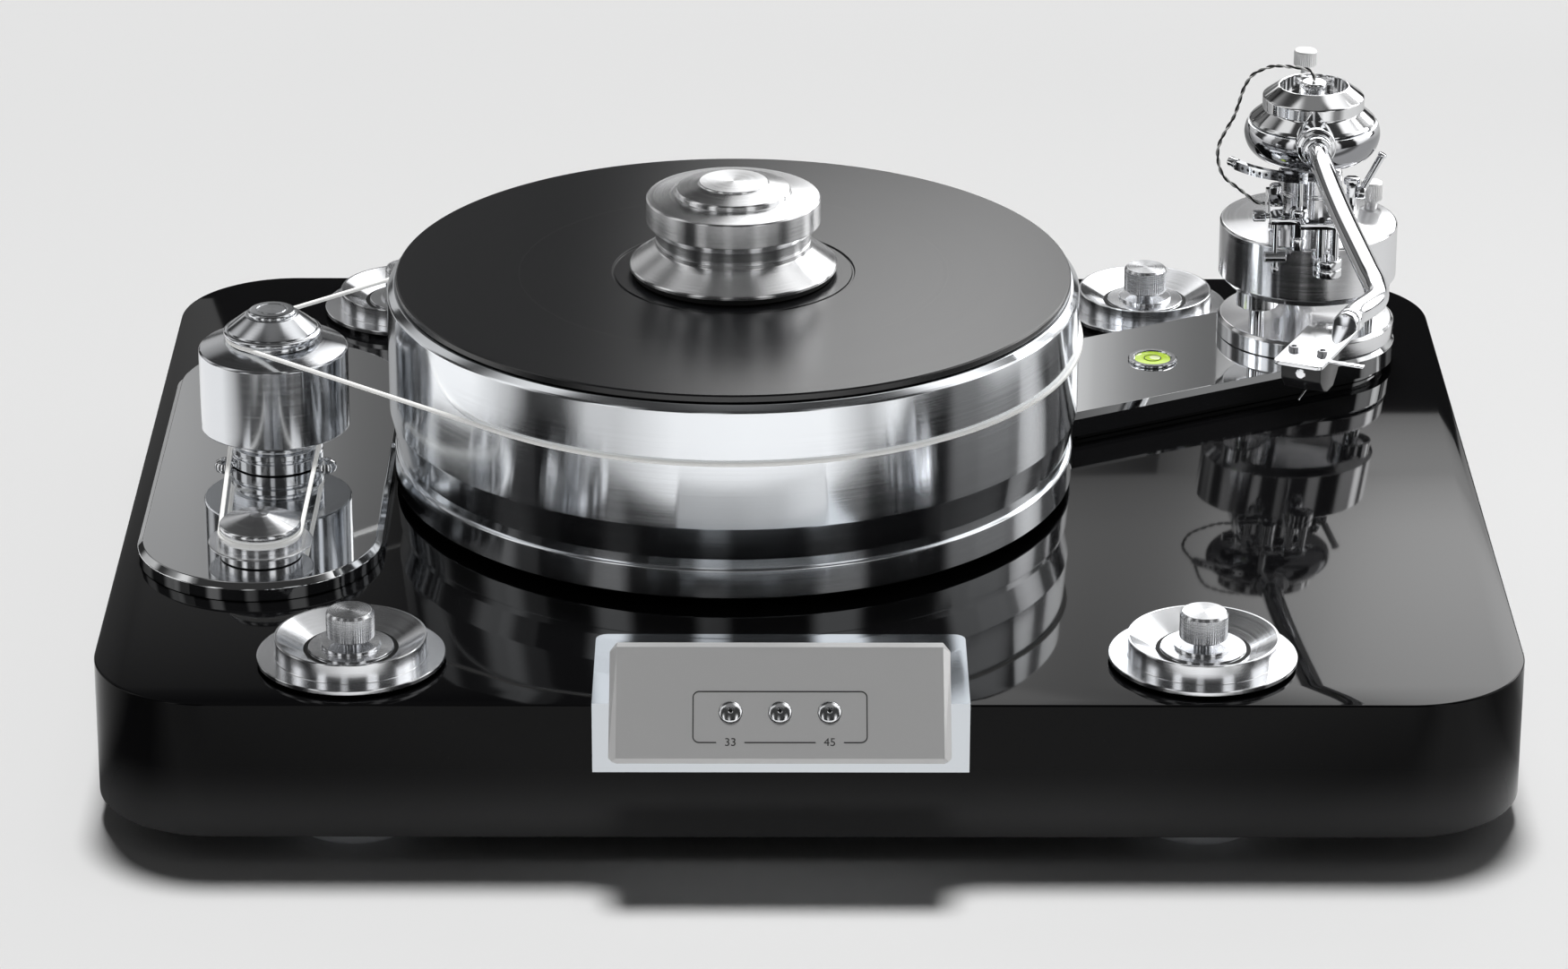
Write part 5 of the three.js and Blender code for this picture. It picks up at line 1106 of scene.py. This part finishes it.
lock_outline = [
    (0, 64.3), (3, 64.3), (3, 73), (4.8, 73), (5.3, 73.5), (5.3, 81.2), (4.6, 82), (0, 82),
]
lock_mesh = knurl(turned(lock_outline, lock_axis, 72, 0.15), lock_axis, 5.3, 73.2, 81.4, 72)
lock_satin = turned_metal("lock knob satin", lock_axis, (0.93, 0.93, 0.93), 0.5, 0.3)
piece(
    "tower_lock_knob", lock_mesh, lock_satin, "brushed_aluminium", "tower_lock", "tower_knob",
    crease=20)
pillar_mesh = turned(
    [
        (0, 71.9), (16, 71.9), (16, 75), (15, 75.4), (15, 85), (14.2, 85.4), (14.2, 86.4),
        (15, 86.8), (15, 94), (14.2, 95), (4, 95), (4, 115.5), (0, 115.5),
    ],
    arm_axis, 96, 0.25)
piece("bearing_pillar", pillar_mesh, arm_metal, "chrome", "tower", "arm_pillar")

# The arm's bearing: a chromed bowl that tilts on two pins, and over it a stepped dome with a
# rimmed recess and a clamping nut in its middle. A rod for the counterweight leaves the rear.
refinish("arm_yoke", grained("yoke steel", (0.4, 0.4, 0.42), 0.25, 1 * mm, 0, Metallic=1.0))
bowl_outer = [
    (14, 101), (17.4, 101), (22.6, 101.9), (26.7, 103.8), (29.6, 106.8), (31.2, 110.4),
    (31.7, 113.8), (31.1, 117.2), (30.2, 119.1),
]
bowl_inner = [
    (29.4, 119.4), (27, 119.4), (27.4, 117), (28.7, 113), (27.6, 109), (24.5, 106), (14, 104),
]
bowl_curve = [tuple(point) for point in smooth_route([Vector(point) for point in bowl_outer], 5)]
bowl_mesh = turned(bowl_curve + bowl_inner, arm_axis, 160, 0, closed=True)
bowl_rear = Matrix.Translation(at_arm(0, 0, 106)) @ to_rear
weight_rod_mesh = turned([(0, 27), (5, 27), (5, 65.5), (4.5, 66), (0, 66)], bowl_rear, 48, 0.1)

# Below its rim the bowl's colour is painted darker: a painted dark reflection.
bowl_painted_dark = (0.36, 0.365, 0.38)
bowl_high = (0.88, 0.89, 0.91)
rim_from = 115.5 * mm
rim_to = 118.5 * mm
bowl_polish = mirror_chrome("bowl polish", 0.05)
bowl_tree = bowl_polish.node_tree
bowl_place = node(bowl_tree, "TexCoord").outputs["Object"]
bowl_height = node(bowl_tree, "SeparateXYZ", {0: bowl_place}).outputs["Z"]
# Painted reflection: the bright plating shows only at the rim, the painted dark below it.
bowl_dark_reflection_edge = node(bowl_tree, "MapRange", {
    "Value": bowl_height, "From Min": deck.z + rim_from, "From Max": deck.z + rim_to})
paint(bowl_polish, blend(bowl_tree, bowl_dark_reflection_edge.outputs["Result"], (*bowl_painted_dark, 1), (*bowl_high, 1)))
bowl_whole = joined(bowl_mesh, weight_rod_mesh)
piece("bearing_bowl", bowl_whole, bowl_polish, "chrome", "arm", "arm_bowl", crease=24)
dome_mesh = turned(
    [
        (0, 119.7), (29.2, 119.7), (29.6, 120.2), (28.6, 121.4), (23.6, 125.6), (23.2, 126),
        (23.7, 126.4), (23.7, 131.6), (23.2, 132.1), (16.9, 136.7), (16.4, 137), (15.9, 137),
        (15.6, 136.6), (15.6, 130),
        (9, 130), (8.4, 131), (6.6, 132), (6, 132.6), (6, 138), (5.4, 138.6), (0, 138.6),
    ],
    arm_axis, 160, 0.25)
dome_polish = mirror_chrome("dome polish", 0.07, (0.88, 0.885, 0.895))
piece("bearing_dome", dome_mesh, dome_polish, "chrome", "arm", "arm_dome")

# The counterweight on the rod: a turned steel drum with a scale groove, and the tall knurled
# screw that locks it.
weight_steel = grained(
    "counterweight steel", (0.6, 0.61, 0.63), 0.22, 0.8 * mm, 0.01 * mm, Metallic=1.0)
weight_mesh = turned(
    [
        (5.05, 36), (15, 36), (16, 37), (16, 56), (15.4, 56.3), (15.4, 57), (16, 57.3), (16, 59),
        (15, 60), (5.05, 60),
    ],
    bowl_rear, 96, 0.2, closed=True)
piece("balance_drum", weight_mesh, weight_steel, "dark_steel", "balance_weight", "counterweight")
screw_axis = axis_of("weight_screw")
weight_screw_outline = [
    (0, 113.5), (2, 113.5), (2, 129.6), (3.4, 130.4), (5, 131), (5.5, 131.5), (5.5, 137.9),
    (4.9, 138.5), (0, 138.5),
]
weight_screw_mesh = knurl(
    turned(weight_screw_outline, screw_axis, 72, 0.12), screw_axis, 5.5, 131.3, 138, 72)
screw_satin = turned_metal("lock screw satin", screw_axis, (0.93, 0.93, 0.93), 0.5, 0.3)
piece(
    "balance_lock_screw", weight_screw_mesh, screw_satin, "brushed_aluminium", "balance_lock",
    "weight_screw", crease=20)

# The arm tube: drawn and polished, with two collars where it leaves the bowl, a gentle curve
# along its run and a sharper bend before the headshell.
tube_height = 118
tube_points = [
    (-1.2, -30), (-1.1, -49.5), (-0.2, -76.5), (1.2, -106.8), (3.3, -142), (5.4, -171),
    (7.3, -197), (8.6, -217), (6.8, -233),
]
shell_rear = Vector((-11.75, -258.9, 0))
shell_turn = math.radians(-23.9)
shell_back = Vector((math.sin(-shell_turn), math.cos(shell_turn), 0))
shell_side = Vector((math.cos(shell_turn), math.sin(shell_turn), 0))
coupling_across = 4.4
tube_line = [at_arm(x, y, tube_height) for x, y in tube_points]
for reach in (12.6, 5.6):
    tube_end = shell_rear + shell_back * reach + shell_side * coupling_across
    tube_line.append(at_arm(tube_end.x, tube_end.y, tube_height))
tube_mesh = rod_along(smooth_route(tube_line, 10), 5.3 * mm, 8)
to_front = Matrix.Rotation(math.pi / 2, 4, "X")
collar_mesh = turned(
    [
        (0, 22.2), (9.2, 22.2), (9.2, 35.4), (8.6, 36), (7.2, 36.2), (6.7, 36.8), (6.7, 40.9),
        (6.1, 41.4), (0, 41.4),
    ],
    Matrix.Translation(at_arm(-1.2, 0, tube_height)) @ to_front, 72, 0.2)
tube_whole = joined(tube_mesh, collar_mesh)
piece("drawn_tube", tube_whole, arm_chrome, "chrome", "arm", "arm_tube", crease=40)

# The headshell: a flat polished plate with a round coupling at its rear, a finger lift at its
# side and two socket screws of steel that hold the cartridge below.
shell_place = (
    Matrix.Translation(arm_axis + shell_rear * mm) @ Matrix.Rotation(shell_turn, 4, "Z"))
shell_mesh = block(Vector((-10.75, -52.8, 115.7)) * mm, Vector((10.75, 0, 117.5)) * mm)
for is_rear, cut, segments in ((True, 5, 1), (False, 3, 8)):
    posts = [
        e for e in shell_mesh.edges
        if abs(e.verts[0].co.z - e.verts[1].co.z) > 1 * mm
        and (e.verts[0].co.y > -20 * mm) == is_rear
    ]
    bevel(shell_mesh, posts, cut * mm, segments)
shell_rims = [e for e in shell_mesh.edges if abs(e.verts[0].co.z - e.verts[1].co.z) < 0.1 * mm]
bevel(shell_mesh, shell_rims, 0.35 * mm)
finger_mesh = block(Vector((9.65, -43.7, 116.15)) * mm, Vector((26.05, -40.7, 117.05)) * mm)
bevel(finger_mesh, finger_mesh.edges[:], 0.3 * mm)
for mesh in (shell_mesh, finger_mesh):
    mesh.transform(shell_place)
coupling_mesh = turned(
    [
        (0, -3), (5.2, -3), (5.8, -2.4), (5.8, 0.6), (5.3, 0.9), (5.3, 1.5), (5.8, 1.8),
        (5.8, 5.4), (5.3, 6), (0, 6),
    ],
    shell_place @ Matrix.Translation((coupling_across * mm, 0, 117.6 * mm)) @ to_rear, 64, 0.12)
shell_whole = joined(shell_mesh, coupling_mesh, finger_mesh)
shell_chrome = mirror_chrome("headshell polish", 0.08)
piece("shell_plate", shell_whole, shell_chrome, "chrome", "arm", "headshell", crease=25)
shell_screw_outline = [
    (0, 117.4), (2.3, 117.4), (2.3, 119.2), (1.9, 119.5), (1.2, 119.5), (1.2, 118.3), (0, 118.3),
]
shell_screws = [
    turned(shell_screw_outline, shell_place @ Matrix.Translation((x * mm, -38 * mm, 0)), 32, 0.1)
    for x in (-6.35, 6.35)
]
piece("shell_screws", joined(*shell_screws), cover_screw_steel, "dark_steel", "arm", crease=14)

# The cartridge: a moulded black body with a sloping nose, a small screw in its front, and a
# fine cantilever that carries the diamond.
cartridge_black = grained(
    "cartridge moulding", (0.012, 0.012, 0.013), 0.3, 0.6 * mm, 0.01 * mm)
cartridge_half = 8.75
cartridge_side = [
    (-23, 115.4), (-47, 115.4), (-47, 108), (-42, 102.6), (-37, 100.5), (-29, 100.5), (-23, 106),
]
cartridge_mesh = bmesh.new()
side_face = cartridge_mesh.faces.new([
    cartridge_mesh.verts.new(Vector((-cartridge_half, y, z)) * mm) for y, z in cartridge_side])
pull(cartridge_mesh, side_face, (2 * cartridge_half * mm, 0, 0))
bmesh.ops.recalc_face_normals(cartridge_mesh, faces=cartridge_mesh.faces)
bevel(cartridge_mesh, cartridge_mesh.edges[:], 0.7 * mm, 3)
cartridge_mesh.transform(shell_place)
piece(
    "cartridge_body", cartridge_mesh, cartridge_black, "black_plastic", "arm", "cartridge",
    crease=35)
nose_screw = turned(
    [(0, 46.8), (2.2, 46.8), (2.2, 47.3), (1.8, 47.6), (0, 47.6)],
    shell_place @ Matrix.Translation((0, 0, 111 * mm)) @ to_front, 32, 0.05)
piece("cartridge_screw", nose_screw, screw_chrome, "chrome", "arm", crease=14)
stylus_line = [
    shell_place @ (Vector(point) * mm)
    for point in ((0, -39.4, 101), (0, -47.4, 100), (0, -47.9, 99.45))
]
stylus_mesh = rod_along(stylus_line, 0.3 * mm, 3)
piece("cantilever", stylus_mesh, screw_chrome, "chrome", "arm", "stylus", crease=60)

# The cue lift and its fittings: one assembly of polished posts, a clamp block, a damped lift
# cylinder, a plate with a damper below, and the antiskate rod at its left.
lift_axis = at_arm(-9, -43.6)
skate_axis = at_arm(-19.4, -45)
damper_pin = [(0, 66.4), (2.2, 66.4), (2.2, 86), (0, 86)]


def chrome_box(low, high, ease):
    """A small block between two corners, from the arm's axis, with eased edges."""
    bm = block(at_arm(*low), at_arm(*high))
    bevel(bm, bm.edges[:], ease * mm)
    return bm


lift_parts = [
    turned(
        [(0, 71.9), (3, 71.9), (3, 92.6), (2.3, 93.4), (0, 93.4)], at_arm(-17.5, -15.6), 48, 0.15),
    chrome_box((-22, -38, 81), (-15.6, -13, 91), 0.5),
    turned(
        [
            (0, 71), (3.2, 71), (3.8, 71.6), (3.8, 77), (3.5, 77.3), (3.5, 78), (3.8, 78.3),
            (3.8, 88), (4.3, 88.2), (4.3, 90.8), (3.6, 91.6), (1.65, 91.6), (1.65, 80), (0, 80),
        ],
        lift_axis, 48, 0.12),
    chrome_box((-22, -47.9, 84.5), (-9, -35, 87.5), 0.35),
    chrome_box((-9, -54.5, 84.5), (10, -45.5, 87.5), 0.35),
    turned(damper_pin, at_arm(1.3, -50), 32, 0),
    turned(damper_pin, at_arm(7.5, -50), 32, 0),
    turned(
        [
            (0, 60.5), (6, 60.5), (6.7, 61.2), (6.7, 64.4), (6.3, 64.7), (6.3, 65.5), (6.7, 65.8),
            (6.7, 68.8), (6.1, 69.4), (0, 69.4),
        ],
        at_arm(4.4, -50), 56, 0.12),
    turned([(0, 62), (1.4, 62), (1.4, 86), (0, 86)], skate_axis, 28, 0),
    turned(
        [
            (0, 60), (0.9, 60.2), (1.6, 60.8), (1.95, 61.6), (1.95, 62.4), (1.6, 63.2),
            (0.9, 63.8), (0, 64),
        ],
        skate_axis, 32, 0.1),
]
to_left = Matrix.Rotation(math.radians(-90), 4, "Y")
lock_spot = Matrix.Translation(at_arm(-22, -33.6, 84)) @ to_left
lock_neck = turned([(0, -1), (1.3, -1), (1.3, 1.6), (0, 1.6)], lock_spot, 24, 0)
grip_outline = [(0, 1.4), (2.3, 1.4), (2.7, 1.8), (2.7, 6.9), (2.3, 7.4), (0, 7.4)]
lock_grip = knurl(turned(grip_outline, Vector(), 48, 0.1), Vector(), 2.7, 1.6, 7.1, 48)
lock_grip.transform(lock_spot)
lift_whole = joined(*lift_parts, lock_neck, lock_grip)
piece("lift_fittings", lift_whole, arm_chrome, "chrome", "tower", "lift_bracket", crease=28)
cap_outline = [(0, 0), (1.5, 0), (1.5, 1.2), (1.2, 1.5), (0.8, 1.5), (0.8, 0.7), (0, 0.7)]
cap_screws = [
    turned(cap_outline, at_arm(x, y, z), 24, 0.08)
    for x, y, z in ((-18.8, -20, 90.8), (-18.8, -34, 90.8), (1.3, -50, 87.4), (7.5, -50, 87.4))
]
black_screw = grained("black screw", (0.01, 0.01, 0.011), 0.35, 0.4 * mm, 0.01 * mm)
piece("fitting_screws", joined(*cap_screws), black_screw, "black_plastic", "tower", crease=20)

# The lift bar: a curved rail under the arm tube that rises on the lift cylinder's rod, with a
# row of fine holes along it, drawn as thin black discs of painted shade, and a round stop at its left
# end.
bar_radius = math.hypot(9, 43.6)
bar_first, bar_last = math.radians(214), math.radians(263)
hole_count = 11
bar_mesh = bmesh.new()
bar_section = [
    bar_mesh.verts.new(((bar_radius + across) * mm, 0, height * mm))
    for across, height in ((-1.5, 104), (1.5, 104), (1.5, 108.2), (-1.5, 108.2))
]
bar_mesh.faces.new(bar_section)
bmesh.ops.rotate(
    bar_mesh, cent=(0, 0, 0), matrix=Matrix.Rotation(bar_first, 3, "Z"), verts=bar_mesh.verts)
bmesh.ops.spin(
    bar_mesh, geom=bar_mesh.verts[:] + bar_mesh.edges[:] + bar_mesh.faces[:], cent=(0, 0, 0),
    axis=(0, 0, 1), angle=bar_last - bar_first, steps=48)
bmesh.ops.remove_doubles(bar_mesh, verts=bar_mesh.verts, dist=1e-6)
bmesh.ops.recalc_face_normals(bar_mesh, faces=bar_mesh.faces)
bar_mesh.transform(Matrix.Translation(arm_axis))


def on_rail(angle, reach, height):
    """A place on the lift bar, at an angle round the arm's axis."""
    return (
        Matrix.Translation(arm_axis) @ Matrix.Rotation(angle, 4, "Z")
        @ Matrix.Translation(Vector((reach, 0, height)) * mm))


bar_rod = turned([(0, 78), (1.6, 78), (1.6, 105), (0, 105)], lift_axis, 32, 0)
bar_stop = turned(
    [(0, -5), (1.9, -5), (2.4, -4.4), (2.4, 0.4), (1.9, 1), (0, 1)],
    on_rail(bar_first, bar_radius, 106.5) @ to_rear, 40, 0.15)
bar_whole = joined(bar_mesh, bar_rod, bar_stop)
piece("lift_rail", bar_whole, arm_chrome, "chrome", "cue_bar", "lift_bar", crease=28)
to_right = Matrix.Rotation(math.pi / 2, 4, "Y")
# Painted shade: each hole is a thin black disc on the rail's side.
rail_holes = []
for step in range(hole_count):
    angle = bar_first + (bar_last - bar_first) * (step + 0.7) / (hole_count + 0.6)
    rail_holes.append(turned(
        [(0, 0), (0.75, 0), (0.75, 0.06), (0, 0.06)],
        on_rail(angle, bar_radius + 1.48, 106.1) @ to_right, 16, 0))
piece("rail_holes", joined(*rail_holes), shade_and_print_black, "black_plastic", "cue_bar")

# The antiskate weight: a small turned cylinder of aluminium that lies across its rod and is
# slid along it by hand.
skate_mesh = turned(
    [(1.45, -5.2), (2.2, -5.2), (2.7, -4.7), (2.7, 4.7), (2.2, 5.2), (1.45, 5.2)],
    Matrix.Translation(skate_axis + Vector((0, 0, 68 * mm))) @ to_left, 48, 0.1, closed=True)
skate_metal = grained(
    "antiskate aluminium", (0.75, 0.76, 0.78), 0.22, 0.5 * mm, 0.005 * mm, Metallic=1.0)
piece("skate_drum", skate_mesh, skate_metal, "brushed_aluminium", "antiskate", "skate_weight")

# The lever pillar: a slim six-sided post with a wider cap, and the cue lever, a thin rod that
# turns on the pillar's cross pin.
lever_axis = at_arm(19, -6.2)
lever_spot = at_arm(19, -6.2, 86)
hex_parts = []
for across_flats, bottom, top in ((4.4, 71.9, 90.4), (6.8, 90, 93)):
    radius = across_flats / 2 / math.cos(math.pi / 6)
    hexagon = turned([(0, bottom), (radius, bottom), (radius, top), (0, top)], lever_axis, 6, 0)
    bevel(hexagon, [e for e in hexagon.edges if e.calc_face_angle(0) > 0.5], 0.25 * mm)
    hex_parts.append(hexagon)
lever_pin = turned(
    [(0, 0), (1.2, 0), (1.2, 5.6), (1, 5.8), (0, 5.8)], Matrix.Translation(lever_spot) @ to_right,
    24, 0)
lever_whole = joined(*hex_parts, lever_pin)
piece("lever_post", lever_whole, arm_chrome, "chrome", "tower", "lever_pillar", crease=25)
hub_place = Matrix.Translation(lever_spot + Vector((2.5 * mm, 0, 0)))
hub_mesh = turned(
    [(1.25, 0), (2.8, 0), (3.2, 0.4), (3.2, 3.2), (2.8, 3.6), (1.25, 3.6)], hub_place @ to_right,
    40, 0.08, closed=True)
handle_mesh = turned(
    [
        (0, 1.6), (1.5, 1.6), (1.7, 3), (1.7, 19.5), (2.1, 20), (2.1, 20.9), (1.6, 21.5),
        (0, 21.5),
    ],
    hub_place @ Matrix.Translation((1.8 * mm, 0, 0)) @ Matrix.Rotation(math.radians(27), 4, "Y"),
    32, 0.1)
handle_whole = joined(hub_mesh, handle_mesh)
piece("cue_lever_rod", handle_whole, arm_chrome, "chrome", "cue_handle", "cue_lever", crease=28)
